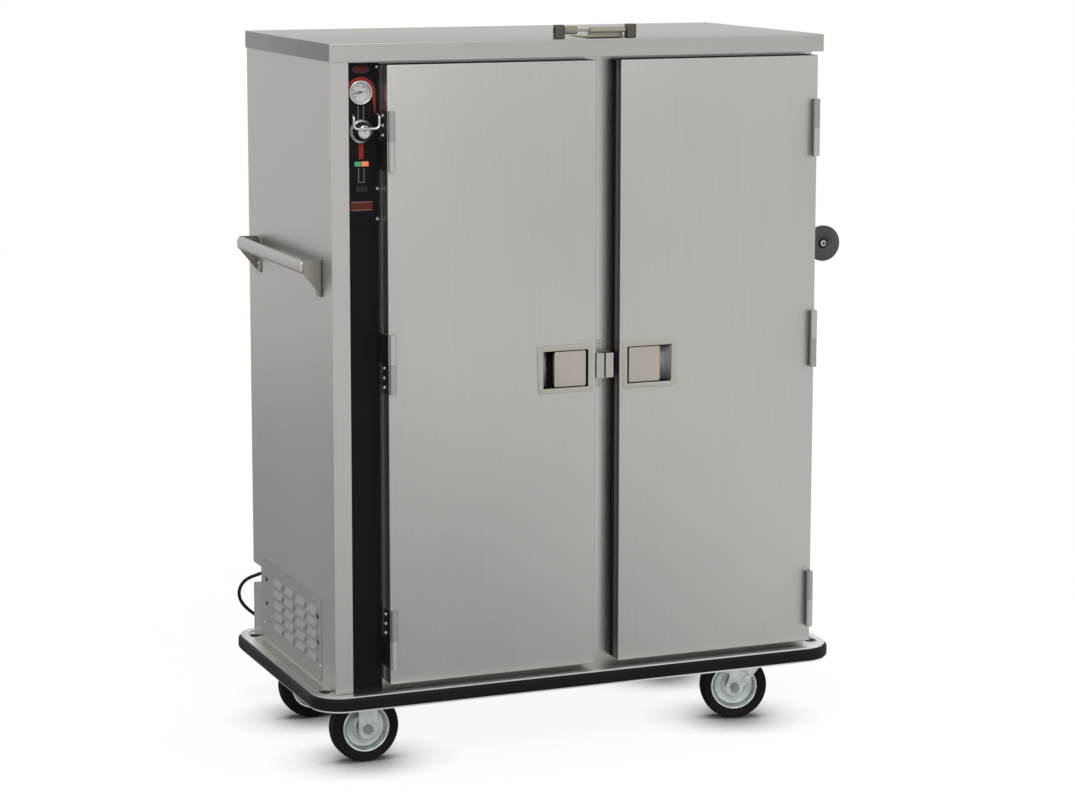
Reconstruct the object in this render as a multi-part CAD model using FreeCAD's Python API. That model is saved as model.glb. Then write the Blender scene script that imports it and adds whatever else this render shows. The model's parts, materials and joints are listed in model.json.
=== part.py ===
import FreeCAD, Part
import math
import os
from FreeCAD import Vector

# Heated holding cabinet with two doors, on casters.
# Millimetres, +Z up, the doors face -Y and the control column is on the -X side.
# Pieces are drawn about the middle of the cap and shifted at the end, so that the origin
# lies on the floor under the middle of the whole object without its cord.

# Outer body
cap_width = 1146.0
cap_depth = 602.0
cabinet_height = 1566.0
cap_lip = 38.0
cap_overhang = 3.0
skin = 1.2
slip_fit = 0.2

# Front layout
stile_width = 39.0
bay_width = 84.5
mullion_gap = 57.0
right_edge_inset = 9.5
door_thickness = 44.0
door_bottom_gap = 12.0
door_top_gap = 8.0
gasket_thickness = 5.7
gasket_clearance = 0.3
gasket_width = 14.0
gasket_inset = 17.0
gasket_margin = 4.0
frame_thickness = 2.0
door_pan_flange = 12.0

# Casters
wheel_diameter = 152.0
tyre_width = 48.0
tread_round = 9.0
rim_diameter = 107.0
rim_width = 38.0
rim_wall = 5.0
disc_thickness = 5.0
hub_diameter = 32.0
axle_diameter = 12.0
axle_head = 6.0
axle_head_diameter = 19.0
running_clearance = 0.05
fork_gap = 4.0
leg_thickness = 4.0
leg_foot_radius = 20.0
rigid_leg_half = 21.0
leg_top_half = 40.0
crown_clearance = 5.0
crown_thickness = 4.0
crown_boss_height = 6.0
crown_boss_radius = 30.0
race_gap = 0.5
race_height = 6.5
kingpin_diameter = 14.0
caster_plate = 5.0
caster_plate_x = 100.0
caster_plate_y = 106.0
caster_hole_x = 76.0
caster_hole_y = 84.0
caster_hole_diameter = 9.0
rigid_caster_x = 470.0
rigid_caster_y = 185.0
caster_x = 468.0
caster_y = 197.0
caster_trail = 45.0
front_swivel_angle = -18.0
rear_swivel_angle = -8.0

# Caster brake
brake_pivot_ahead = 28.0
brake_pivot_above = 24.0
brake_stud_diameter = 10.0
brake_stud_head = 16.0
brake_stud_head_height = 3.5
brake_lever_thickness = 4.0
brake_lever_gap = 0.6
brake_lever_half = 9.0
brake_shoe_angle = 128.0
brake_shoe_gap = 0.6
brake_shoe_thickness = 5.0
brake_shoe_length = 24.0
brake_shoe_margin = 6.0
brake_pedal_reach = 26.0
brake_pedal_length = 20.0

# Deck and bumper
deck_thickness = 3.0
bumper_side_reach = 45.0
bumper_front_reach = 28.0
bumper_height = 34.0
bumper_corner_radius = 72.0
bumper_lip_rise = 2.0
bumper_lip_thickness = 3.0
bumper_lip_depth = 14.0
bumper_web = 3.0
bumper_bulge = 6.0
bumper_round = 7.0
deck_hole_radius = 11.0
deck_hole_from_wall = 12.5
deck_hole_from_front = 43.0

# Door hinges
hinge_axis_inset = 6.5
hinge_axis_front = 8.0
hinge_barrel_diameter = 15.0
hinge_pin_diameter = 8.0
hinge_half_length = 63.0
hinge_split = 0.5
hinge_leaf = 2.5
hinge_leaf_depth = 34.0
hinge_foot_width = 17.0
hinge_top_drop = 159.0
hinge_middle_drop = 631.0
hinge_bottom_rise = 99.0

# Door latches
latch_drop = 665.0
latch_edge_gap = 7.0
bezel_width = 127.0
bezel_height = 103.0
bezel_thickness = 1.6
bezel_border = 11.0
recess_depth = 30.0
recess_wall = 1.2
paddle_width = 74.0
paddle_side_gap = 2.0
paddle_thickness = 3.0
paddle_set_back = 2.0
paddle_flange = 12.0
paddle_pivot_from_edge = 9.0
paddle_pivot_depth = 8.0
paddle_tail = 4.5
paddle_pin_diameter = 5.0
strike_plate_width = 20.0
strike_plate_height = 104.0
strike_plate_thickness = 2.0
strike_block_width = 18.0
strike_block_height = 54.0
strike_block_depth = 36.0
strike_spacing = 22.0
strike_screw_spacing = 86.0

# Transport latch on the cap, drawn flipped back
latch_plate_width = 95.0
latch_plate_left = 14.0
latch_plate_drop = 90.0
latch_plate_thickness = 2.0
latch_plate_stand_off = 5.0
latch_strap_short = 22.0
latch_rod_diameter = 6.0
latch_rod_height = 18.0
latch_rod_back = 9.0
latch_sleeve_diameter = 12.0
latch_ear_width = 22.0
latch_ear_depth = 18.0
latch_ear_height = 30.0
latch_ear_gap = 3.0
latch_left_ear = -68.0
latch_spacer_length = 30.0
latch_spacer_diameter = 18.0
latch_open_angle = 271.0

# Control column
panel_depth = 10.0
panel_thickness = 2.0
panel_stile_gap = 0.5
panel_door_gap = 4.5
panel_height = 337.0
panel_top_gap = 6.0
panel_screw_inset = 5.0
panel_screw_top = 8.0
panel_screw_middle = 74.0
panel_screw_low = 10.0
panel_screw_length = 16.0
gauge_drop = 61.0
gauge_diameter = 52.0
gauge_height = 3.0
gauge_body_diameter = 48.0
gauge_depth = 9.0
gauge_wall = 4.0
gauge_back = 3.0
needle_length = 18.0
needle_post_length = 3.0
needle_tail = 6.0
needle_width = 2.4
needle_thickness = 1.0
needle_post_diameter = 3.0
needle_angle = 168.0
knob_drop = 142.0
knob_skirt_diameter = 52.0
knob_skirt_height = 6.0
knob_grip_diameter = 30.0
knob_height = 26.0
knob_shaft_diameter = 6.0
knob_shaft_length = 14.0
knob_gap = 0.5
guard_width = 62.0
guard_rise = 36.0
guard_fall = 28.0
guard_reach = 40.0
guard_wire = 6.0
guard_bend = 9.0
light_drop = 210.5
light_width = 14.0
light_height = 10.5
light_depth = 4.0
light_spacing = 17.5
switch_drop = 263.0
switch_width = 36.0
switch_height = 19.0
switch_bezel = 2.0
switch_rim = 3.0
rocker_gap = 0.5
rocker_tilt = 8.0
rocker_depth = 5.0
access_margin = 10.0
access_bottom = 15.0

# Holding compartments
liner_sheet = 1.0
floor_insulation = 46.0
back_insulation = 26.0
insulation_gap = 0.5
shelf_levels = 3
shelf_pitch = 320.0
shelf_bar = 8.0
shelf_wire = 5.0
shelf_wire_pitch = 38.0
shelf_end_gap = 12.0
ledge_width = 16.0
ledge_thickness = 1.5
slot_width = 8.0
slot_length = 60.0
slot_columns = 4
slot_column_pitch = 105.0
slot_rows = 8
slot_row_pitch = 150.0

# Heating and air
blower_drum_radius = 62.0
blower_drum_width = 66.0
blower_wall = 1.5
blower_centre_height = 100.0
blower_centre_back = 120.0
blower_side_gap = 6.0
blower_wheel_radius = 50.0
blower_wheel_width = 50.0
blower_disc = 2.0
blower_blade_count = 20
blower_blade_depth = 12.0
blower_blade_thickness = 1.5
blower_hub_diameter = 22.0
blower_inlet_radius = 36.0
blower_outlet_height = 95.0
blower_foot = 50.0
motor_radius = 40.0
motor_length = 46.0
motor_shaft_diameter = 8.0
element_diameter = 8.0
element_length = 360.0
element_spacing = 60.0
element_height = 250.0
element_flange = 3.0

# Service louvre panel and cord recess on the left side
louvre_front = 97.0
louvre_back = 535.0
louvre_top = 190.0
louvre_bottom = 6.0
louvre_thickness = 1.2
louvre_overlap = 16.0
louvre_columns = 4
louvre_rows = 5
louvre_slot_length = 58.0
louvre_slot_height = 9.0
louvre_hood = 6.0
louvre_hood_height = 14.0
louvre_first_column = 55.0
louvre_column_pitch = 82.0
louvre_row_pitch = 25.5
louvre_low_screw_front = 6.0
louvre_low_screw_back = 24.0
louvre_low_screw_rise = 36.0
louvre_stud_front = 20.0
louvre_stud_back = 44.0
louvre_stud_drops = (43.0, 99.0)
recess_sill = 116.0
recess_height = 49.0
recess_width = 80.0

# Push handles and door bumper
handle_reach = 50.0
handle_front = 70.0
handle_length = 470.0
handle_top_drop = 456.0
handle_bar_height = 29.0
handle_bar_depth = 20.0
handle_round = 9.0
handle_plate = 3.0
handle_bracket_height = 80.0
handle_flange = 36.0
handle_screw_spacing = 40.0
handle_screw_length = 4.4
disc_diameter = 80.0
disc_depth = 11.0
disc_front = 41.0
disc_out = 32.0
disc_dish_diameter = 40.0
disc_dish_depth = 6.0
disc_stem_diameter = 22.0
disc_screw_radius = 4.0

# Screws
screw_head_diameter = 8.0
screw_head_height = 2.4
screw_shank_diameter = 4.0
screw_shank_length = 7.0
screw_clearance = 0.15

# Power cord
cord_diameter = 8.0
cord_floor_gap = 0.2
cord_first_run = 24.0
cord_last_run = 26.0
gland_length = 30.0
gland_diameter = 20.0
gland_tip_diameter = 11.0
gland_side = 25.0
gland_rise = 22.0
plug_length = 42.0
plug_width = 34.0
plug_height = 25.0
plug_taper = 30.0
plug_tip_diameter = 12.0
blade_length = 17.0
blade_width = 6.4
blade_thickness = 1.6
blade_spacing = 12.7
coil_pitch = 8.8
coil_first_radius = 55.0
coil_half_turns = 6
coil_centre_x = -286.0
coil_behind_bumper = 5.0
coil_lead_out = 46.0

# Worked-out planes
front_y = -cap_depth / 2
back_y = cap_depth / 2
wall_x = cap_width / 2 - cap_overhang
wall_back_y = back_y - cap_overhang
cap_under = cabinet_height - skin
door_front_y = front_y + cap_overhang
door_back_y = door_front_y + door_thickness
frame_y = door_back_y + gasket_thickness + gasket_clearance
frame_back_y = frame_y + frame_thickness
crown_bottom = wheel_diameter + crown_clearance
crown_top = crown_bottom + crown_thickness
boss_top = crown_top + crown_boss_height
race_bottom = boss_top + race_gap
plate_bottom = race_bottom + race_height
plate_top = plate_bottom + caster_plate
deck_top = plate_top + deck_thickness
bumper_top = deck_top + bumper_lip_rise
bumper_bottom = bumper_top - bumper_height
bumper_half_x = cap_width / 2 + bumper_side_reach
bumper_half_y = cap_depth / 2 + bumper_front_reach
door_bottom = deck_top + door_bottom_gap
door_top = cabinet_height - cap_lip - door_top_gap
left_door_x0 = -wall_x + stile_width + bay_width
right_door_x1 = wall_x - right_edge_inset
door_width = (right_door_x1 - left_door_x0 - mullion_gap) / 2
left_door_x1 = left_door_x0 + door_width
right_door_x0 = right_door_x1 - door_width
mullion_x = (left_door_x1 + right_door_x0) / 2
opening_inset = gasket_inset + gasket_width + gasket_margin
inner_left_x = left_door_x0 + opening_inset
inner_right_x = right_door_x1 - opening_inset
inner_floor = deck_top + floor_insulation + liner_sheet
inner_ceiling = door_top - opening_inset + gasket_margin
inner_back_y = wall_back_y - skin - back_insulation - liner_sheet
leg_inner = tyre_width / 2 + fork_gap
leg_outer = leg_inner + leg_thickness
axle_z = wheel_diameter / 2
bay_left_x = -wall_x + stile_width
panel_left_x = bay_left_x + panel_stile_gap
panel_right_x = left_door_x0 - panel_door_gap
panel_mid_x = (panel_left_x + panel_right_x) / 2
panel_top = cabinet_height - cap_lip - panel_top_gap
panel_bottom = panel_top - panel_height
panel_front_y = frame_y - panel_depth
handle_top = cabinet_height - handle_top_drop
handle_mid_z = handle_top - handle_bar_height / 2
hinge_heights = (door_top - hinge_top_drop, door_top - hinge_middle_drop, door_bottom + hinge_bottom_rise)
door_half_is_upper = (True, False, True)
latch_z = door_top - latch_drop
pocket_y0 = front_y + louvre_back
pocket_z0 = deck_top + recess_sill
pocket_z1 = pocket_z0 + recess_height
left_reach = max(bumper_half_x, wall_x + handle_reach)
right_reach = max(bumper_half_x, wall_x + disc_out + disc_diameter / 2)
origin_shift = Vector((left_reach - right_reach) / 2, 0, 0)

X_AXIS = Vector(1, 0, 0)
Y_AXIS = Vector(0, 1, 0)
Z_AXIS = Vector(0, 0, 1)


def box(x0, x1, y0, y1, z0, z1):
    return Part.makeBox(x1 - x0, y1 - y0, z1 - z0, Vector(x0, y0, z0))


def rod(radius, start, end):
    along = end.sub(start)
    return Part.makeCylinder(radius, along.Length, start, along)


def cone(radius_start, radius_end, start, end):
    along = end.sub(start)
    return Part.makeCone(radius_start, radius_end, along.Length, start, along)


def joined(shapes):
    first = shapes[0]
    if len(shapes) == 1:
        return first
    return first.multiFuse(shapes[1:]).removeSplitter()


def prism(points, along):
    outline = Part.makePolygon(points + [points[0]])
    return Part.Face(outline).extrude(along)


def moved(shape, x, y, z):
    copy = shape.copy()
    copy.translate(Vector(x, y, z))
    return copy


def turned(shape, centre, axis, angle):
    copy = shape.copy()
    copy.rotate(centre, axis, angle)
    return copy


def mirrored_x(shape, x):
    return shape.mirror(Vector(x, 0, 0), X_AXIS)


def write(name, solids):
    # One file for each node, with its solids shifted to the object's own origin.
    whole = Part.makeCompound(solids) if len(solids) > 1 else solids[0]
    shifted = whole.copy()
    shifted.translate(origin_shift)
    shifted.exportStep("parts/" + name + ".step")


def rounded_slab(half_x, half_y, radius, z0, z1):
    slab = box(-half_x, half_x, -half_y, half_y, z0, z1)
    upright = [e for e in slab.Edges if abs(e.tangentAt(e.FirstParameter).z) > 0.9]
    return slab.makeFillet(radius, upright)


def bumper_ring(outer_in, inner_in, z0, z1):
    # Ring that follows the bumper's outline, between two distances inside its outer edge.
    outer = rounded_slab(bumper_half_x - outer_in, bumper_half_y - outer_in,
                         bumper_corner_radius - outer_in, z0, z1)
    inner = rounded_slab(bumper_half_x - inner_in, bumper_half_y - inner_in,
                         bumper_corner_radius - inner_in, z0, z1)
    return outer.cut(inner)


# Deck and bumper

channel_inner = bumper_bulge + bumper_lip_depth + bumper_web


def deck_plate():
    plate = rounded_slab(bumper_half_x - channel_inner, bumper_half_y - channel_inner,
                         bumper_corner_radius - channel_inner, plate_top, deck_top)
    hole_x = wall_x + deck_hole_from_wall
    hole_y = cap_depth / 2 - deck_hole_from_front
    for sx in (-1, 1):
        for sy in (-1, 1):
            foot = Vector(sx * hole_x, sy * hole_y, plate_top)
            plate = plate.cut(Part.makeCylinder(deck_hole_radius, deck_thickness, foot))
            x = caster_x if sx > 0 else -rigid_caster_x
            y = caster_y if sx > 0 else rigid_caster_y
            for bolt in caster_bolts(x, sy * y):
                plate = plate.cut(Part.makeCylinder(caster_hole_diameter / 2, deck_thickness, bolt))
    return plate


def caster_bolts(x, y):
    half_x = caster_hole_x / 2
    half_y = caster_hole_y / 2
    return [Vector(x + sx * half_x, y + sy * half_y, plate_top) for sx in (-1, 1) for sy in (-1, 1)]


def bumper_channel():
    web_out = bumper_bulge + bumper_lip_depth
    web = bumper_ring(web_out, channel_inner, bumper_bottom, bumper_top)
    upper = bumper_ring(bumper_bulge, channel_inner, bumper_top - bumper_lip_thickness, bumper_top)
    lower = bumper_ring(bumper_bulge, channel_inner, bumper_bottom, bumper_bottom + bumper_lip_thickness)
    return joined([web, upper, lower])


def bumper_strip():
    z0 = bumper_bottom + bumper_lip_thickness
    z1 = bumper_top - bumper_lip_thickness
    outer = rounded_slab(bumper_half_x, bumper_half_y, bumper_corner_radius, z0, z1)
    rims = [e for e in outer.Edges if abs(e.tangentAt(e.FirstParameter).z) < 0.1]
    outer = outer.makeFillet(bumper_round, rims)
    web_out = bumper_bulge + bumper_lip_depth
    inner = rounded_slab(bumper_half_x - web_out, bumper_half_y - web_out,
                         bumper_corner_radius - web_out, z0, z1)
    return outer.cut(inner)


# Casters

def tyre():
    half = tyre_width / 2
    outer = rod(wheel_diameter / 2, Vector(0, -half, 0), Vector(0, half, 0))
    rims = [e for e in outer.Edges if e.Closed]
    outer = outer.makeFillet(tread_round, rims)
    return outer.cut(rod(rim_diameter / 2, Vector(0, -half, 0), Vector(0, half, 0)))


def rim():
    half = rim_width / 2
    disc = disc_thickness / 2
    bore = axle_diameter / 2 + running_clearance
    hub = hub_diameter / 2
    outer = rim_diameter / 2
    inner = outer - rim_wall
    hub_half = leg_inner - fork_gap / 4
    profile = [(bore, -hub_half), (hub, -hub_half), (hub, -disc), (inner, -disc), (inner, -half),
               (outer, -half), (outer, half), (inner, half), (inner, disc), (hub, disc),
               (hub, hub_half), (bore, hub_half)]
    points = [Vector(r, y, 0) for r, y in profile]
    face = Part.Face(Part.makePolygon(points + [points[0]]))
    return face.revolve(Vector(0, 0, 0), Y_AXIS, 360)


def axle_bolt():
    radius = axle_diameter / 2
    head = axle_head_diameter / 2
    shank = rod(radius, Vector(0, -leg_outer, 0), Vector(0, leg_outer, 0))
    near = rod(head, Vector(0, -leg_outer - axle_head, 0), Vector(0, -leg_outer, 0))
    far = rod(head, Vector(0, leg_outer, 0), Vector(0, leg_outer + axle_head, 0))
    return joined([shank, near, far])


def fork_leg(y0, top_z, top_x, top_half, foot_radius):
    # One upright of a fork, round about the axle at the origin and wide at its top.
    top = top_z - axle_z
    foot = Part.makeCylinder(foot_radius, leg_thickness, Vector(0, y0, 0), Y_AXIS)
    outline = [Vector(-foot_radius, y0, 0), Vector(foot_radius, y0, 0),
               Vector(top_x + top_half, y0, top), Vector(top_x - top_half, y0, top)]
    blade = prism(outline, Vector(0, leg_thickness, 0))
    hole = Part.makeCylinder(axle_diameter / 2 + running_clearance, leg_thickness, Vector(0, y0, 0), Y_AXIS)
    return foot.fuse(blade).cut(hole)


def mounting_plate():
    plate = box(-caster_plate_x / 2, caster_plate_x / 2, -caster_plate_y / 2, caster_plate_y / 2,
                plate_bottom, plate_top)
    for bolt in caster_bolts(0, 0):
        hole = Vector(bolt.x, bolt.y, plate_bottom)
        plate = plate.cut(Part.makeCylinder(caster_hole_diameter / 2, caster_plate, hole))
    return plate


def rigid_fork():
    legs = [moved(fork_leg(y0, plate_bottom, 0, rigid_leg_half, rigid_leg_half), 0, 0, axle_z)
            for y0 in (-leg_outer, leg_inner)]
    return joined([mounting_plate()] + legs)


def swivel_plate():
    race = Part.makeCylinder(crown_boss_radius, race_height, Vector(0, 0, race_bottom))
    pin_length = plate_bottom - crown_bottom - race_gap
    pin = Part.makeCylinder(kingpin_diameter / 2, pin_length, Vector(0, 0, crown_bottom + race_gap))
    return joined([mounting_plate(), race, pin])


def swivel_fork():
    # Drawn about the swivel axis, with the wheel trailing towards -X.
    crown = box(-leg_top_half, leg_top_half, -leg_outer, leg_outer, crown_bottom, crown_top)
    boss = Part.makeCylinder(crown_boss_radius, crown_boss_height, Vector(0, 0, crown_top))
    legs = [moved(fork_leg(y0, crown_top, caster_trail, leg_top_half, leg_foot_radius),
                  -caster_trail, 0, axle_z)
            for y0 in (-leg_outer, leg_inner)]
    x = brake_pivot_ahead - caster_trail
    z = axle_z + brake_pivot_above
    head_y = -leg_outer - 2 * brake_lever_gap - brake_lever_thickness
    stud = rod(brake_stud_diameter / 2, Vector(x, -leg_outer, z), Vector(x, head_y, z))
    head = rod(brake_stud_head / 2, Vector(x, head_y, z), Vector(x, head_y - brake_stud_head_height, z))
    bore = Part.makeCylinder(kingpin_diameter / 2 + running_clearance, boss_top - crown_bottom,
                             Vector(0, 0, crown_bottom))
    return joined([crown, boss, stud, head] + legs).cut(bore)


def brake_lever():
    # Side lever with a shoe across the tread and a foot pedal behind the wheel.
    y1 = -leg_outer - brake_lever_gap
    y0 = y1 - brake_lever_thickness
    pivot = Vector(brake_pivot_ahead - caster_trail, y0, axle_z + brake_pivot_above)
    angle = math.radians(brake_shoe_angle)
    shoe_radius = wheel_diameter / 2 + brake_shoe_gap + brake_shoe_thickness / 2
    shoe_x = -caster_trail + shoe_radius * math.cos(angle)
    shoe_z = axle_z + shoe_radius * math.sin(angle)
    end_x = shoe_x - brake_pedal_reach
    end_z = shoe_z + brake_lever_half / 2
    half = brake_lever_half
    outline = [Vector(pivot.x + half, y0, pivot.z), Vector(pivot.x, y0, pivot.z - half),
               Vector(shoe_x - half, y0, shoe_z - half), Vector(end_x, y0, end_z - half),
               Vector(end_x, y0, end_z + half / 2), Vector(shoe_x, y0, shoe_z + half),
               Vector(pivot.x, y0, pivot.z + half)]
    lever = prism(outline, Vector(0, brake_lever_thickness, 0))
    shoe = box(-brake_shoe_thickness / 2, brake_shoe_thickness / 2, y0, -brake_shoe_margin,
               -brake_shoe_length / 2, brake_shoe_length / 2)
    shoe = turned(shoe, Vector(0, 0, 0), Y_AXIS, -brake_shoe_angle)
    shoe = moved(shoe, shoe_x, 0, shoe_z)
    pedal = box(end_x, end_x + brake_pedal_length, y0 - brake_pedal_reach, y0,
                end_z - half / 2, end_z - half / 2 + brake_lever_thickness)
    bore = rod(brake_stud_diameter / 2 + running_clearance, pivot,
               pivot.add(Vector(0, brake_lever_thickness, 0)))
    return joined([lever, shoe, pedal]).cut(bore)


def swivelled(shape, y, angle):
    return moved(turned(shape, Vector(0, 0, 0), Z_AXIS, angle), caster_x, y, 0)


# Outer shell

def left_side_panel():
    top = cap_under
    side = box(-wall_x, -wall_x + skin, door_front_y, wall_back_y, deck_top, top)
    stile = box(-wall_x, bay_left_x, door_front_y, door_front_y + skin, deck_top, top)
    inner = box(bay_left_x - skin, bay_left_x, door_front_y, frame_y, deck_top, top)
    panel = joined([side, stile, inner])
    service = box(-wall_x, -wall_x + skin, front_y + louvre_front + louvre_overlap,
                  front_y + louvre_back - louvre_overlap, deck_top + louvre_bottom + louvre_overlap,
                  deck_top + louvre_top - louvre_overlap)
    notch = box(-wall_x, -wall_x + skin, pocket_y0, wall_back_y, pocket_z0, pocket_z1)
    return drilled(panel.cut(service).cut(notch), louvre_screws() + handle_screws(), X_AXIS)


def body_wrap():
    # Back and right side folded from one sheet, with the cord recess in its lower left corner.
    side = box(wall_x - skin, wall_x, frame_y, wall_back_y, deck_top, cap_under)
    back = box(-wall_x + skin, wall_x, wall_back_y - skin, wall_back_y, deck_top, cap_under)
    x0 = -wall_x + skin
    x1 = -wall_x + recess_width
    mouth = box(x0, x1, wall_back_y - skin, wall_back_y, pocket_z0, pocket_z1)
    shell = box(x0, x1 + skin, pocket_y0 - skin, wall_back_y, pocket_z0 - skin, pocket_z1 + skin)
    hollow = box(x0, x1, pocket_y0, wall_back_y, pocket_z0, pocket_z1)
    wrap = joined([side, back]).cut(mouth).fuse(shell.cut(hollow)).removeSplitter()
    foot = gland_foot()
    hole = rod(cord_diameter / 2 + screw_clearance, foot.sub(Vector(0, skin, 0)), foot)
    right = [Vector(-at.x, at.y, at.z) for at in handle_screws()]
    return drilled(wrap.cut(hole), right, X_AXIS)


def top_cap():
    half_x = cap_width / 2
    lid = box(-half_x, half_x, front_y, back_y, cabinet_height - cap_lip, cabinet_height)
    inside = box(-half_x + skin, half_x - skin, front_y + skin, back_y - skin,
                 cabinet_height - cap_lip, cap_under)
    return lid.cut(inside)


def front_frame():
    x0 = -wall_x + skin
    x1 = wall_x - skin
    plate = box(x0, x1, frame_y, frame_back_y, deck_top, cap_under)
    left = box(inner_left_x, left_door_x1 - opening_inset, frame_y, frame_back_y, inner_floor, inner_ceiling)
    right = box(right_door_x0 + opening_inset, inner_right_x, frame_y, frame_back_y,
                inner_floor, inner_ceiling)
    access = box(panel_left_x + access_margin, panel_right_x - access_margin, frame_y, frame_back_y,
                 panel_bottom + access_bottom, panel_top - access_bottom)
    plate = plate.cut(left).cut(right).cut(access)
    return drilled(plate, panel_screws() + strike_screws(), Y_AXIS)


def door_gasket(x0, x1):
    a = gasket_inset
    b = gasket_inset + gasket_width
    y0 = frame_y - gasket_thickness
    outer = box(x0 + a, x1 - a, y0, frame_y, door_bottom + a, door_top - a)
    inner = box(x0 + b, x1 - b, y0, frame_y, door_bottom + b, door_top - b)
    return outer.cut(inner)


# Compartments

def ledge_heights():
    return [inner_floor + shelf_pitch * (i + 1) for i in range(shelf_levels)]


def inner_liner():
    # Floor, ceiling, back and right wall of the holding space, open to the front and to the duct.
    x0 = inner_left_x - liner_sheet
    x1 = inner_right_x + liner_sheet
    shell = box(x0, x1, frame_back_y, inner_back_y + liner_sheet, inner_floor - liner_sheet,
                inner_ceiling + liner_sheet)
    hollow = box(x0, inner_right_x, frame_back_y, inner_back_y, inner_floor, inner_ceiling)
    ledges = [shelf_ledge(inner_right_x - ledge_width, inner_right_x, z) for z in ledge_heights()]
    return joined([shell.cut(hollow)] + ledges)


def shelf_ledge(x0, x1, z):
    return box(x0, x1, frame_back_y + shelf_end_gap, inner_back_y - shelf_end_gap, z - ledge_thickness, z)


def air_panel(x, sides):
    # Slotted upright panel with a ledge for each shelf on the sides that carry shelves.
    panel = box(x - liner_sheet / 2, x + liner_sheet / 2, frame_back_y, inner_back_y,
                inner_floor, inner_ceiling)
    ledges = []
    for z in ledge_heights():
        for side in sides:
            near = x + side * liner_sheet / 2
            far = near + side * ledge_width
            ledges.append(shelf_ledge(min(near, far), max(near, far), z))
    mid_y = (frame_back_y + inner_back_y) / 2
    first_y = mid_y - slot_column_pitch * (slot_columns - 1) / 2
    first_z = inner_floor + slot_row_pitch / 2
    slots = []
    for i in range(slot_columns):
        y = first_y + i * slot_column_pitch
        for k in range(slot_rows):
            z = first_z + k * slot_row_pitch
            slots.append(box(x - liner_sheet, x + liner_sheet, y - slot_width / 2, y + slot_width / 2,
                             z, z + slot_length))
    return joined([panel] + ledges).cut(Part.makeCompound(slots))


def left_air_panel_x():
    return inner_left_x - liner_sheet / 2


def wire_shelf(x0, x1, z):
    y0 = frame_back_y + shelf_end_gap
    y1 = inner_back_y - shelf_end_gap
    bar = shelf_bar
    outer = box(x0, x1, y0, y1, z, z + bar)
    hole = box(x0 + bar, x1 - bar, y0 + bar, y1 - bar, z, z + bar)
    pieces = [outer.cut(hole)]
    count = int((x1 - x0 - 2 * bar) // shelf_wire_pitch)
    first = (x0 + x1) / 2 - shelf_wire_pitch * (count - 1) / 2
    mid_z = z + bar / 2
    for i in range(count):
        x = first + i * shelf_wire_pitch
        pieces.append(rod(shelf_wire / 2, Vector(x, y0 + bar / 2, mid_z), Vector(x, y1 - bar / 2, mid_z)))
    return joined(pieces)


def wire_shelves():
    gap = liner_sheet
    left = (inner_left_x + gap, mullion_x - liner_sheet / 2 - gap)
    right = (mullion_x + liner_sheet / 2 + gap, inner_right_x - gap)
    return [wire_shelf(x0, x1, z) for x0, x1 in (left, right) for z in ledge_heights()]


def wall_insulation():
    g = insulation_gap
    x0 = inner_left_x
    x1 = wall_x - skin - g
    y0 = frame_back_y + g
    liner_right = inner_right_x + liner_sheet + g
    liner_back = inner_back_y + liner_sheet + g
    liner_top = inner_ceiling + liner_sheet + g
    liner_under = inner_floor - liner_sheet - g
    back_y1 = wall_back_y - skin - g
    top = box(x0, x1, y0, back_y1, liner_top, cap_under - g)
    floor = box(x0, x1, y0, back_y1, deck_top + g, liner_under)
    right = box(liner_right, x1, y0, back_y1, liner_under + g, liner_top - g)
    back = box(x0, liner_right - g, liner_back, back_y1, liner_under + g, liner_top - g)
    return [top, floor, right, back]


# Doors and hinges

def door_shell(x0, x1, cut_x0, cut_x1):
    outer = box(x0, x1, door_front_y, door_back_y, door_bottom, door_top)
    hollow = box(x0 + skin, x1 - skin, door_front_y + skin, door_back_y, door_bottom + skin, door_top - skin)
    cutout = latch_cutout(cut_x0, cut_x1, door_front_y, door_front_y + skin)
    return outer.cut(hollow).cut(cutout)


def latch_cutout(x0, x1, y0, y1):
    half = bezel_height / 2 - bezel_border + recess_wall + slip_fit
    grow = recess_wall + slip_fit
    return box(x0 - grow, x1 + grow, y0, y1, latch_z - half, latch_z + half)


def door_pan(x0, x1):
    g = skin + slip_fit
    y0 = door_back_y - door_pan_flange
    outer = box(x0 + g, x1 - g, y0, door_back_y, door_bottom + g, door_top - g)
    inside = box(x0 + g + skin, x1 - g - skin, y0, door_back_y - skin,
                 door_bottom + g + skin, door_top - g - skin)
    return outer.cut(inside)


def door_core(x0, x1, cut_x0, cut_x1):
    g = 2 * skin + 2 * slip_fit
    y0 = door_front_y + skin + slip_fit
    y1 = door_back_y - skin - slip_fit
    slab = box(x0 + g, x1 - g, y0, y1, door_bottom + g, door_top - g)
    return slab.cut(latch_cutout(cut_x0, cut_x1, y0, door_front_y + recess_depth + recess_wall + slip_fit))


def hinge_axis(side):
    # side is -1 for the left door and 1 for the right door.
    edge = left_door_x0 if side < 0 else right_door_x1
    return edge - side * hinge_axis_inset, door_front_y - hinge_axis_front


def hinge_spans(middle, door_upper):
    low = (middle - hinge_half_length, middle - hinge_split / 2)
    high = (middle + hinge_split / 2, middle + hinge_half_length)
    return (high, low) if door_upper else (low, high)


def span_x(side, a, b):
    # Two distances outward from a hinge axis, as sorted x values.
    x = hinge_axis(side)[0]
    return min(x + side * a, x + side * b), max(x + side * a, x + side * b)


def knuckle(side, span):
    x, y = hinge_axis(side)
    foot = Vector(x, y, span[0])
    return Part.makeCylinder(hinge_barrel_diameter / 2, span[1] - span[0], foot)


def hinge_bore(side, span, clearance):
    x, y = hinge_axis(side)
    return Part.makeCylinder(hinge_pin_diameter / 2 + clearance, span[1] - span[0], Vector(x, y, span[0]))


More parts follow.
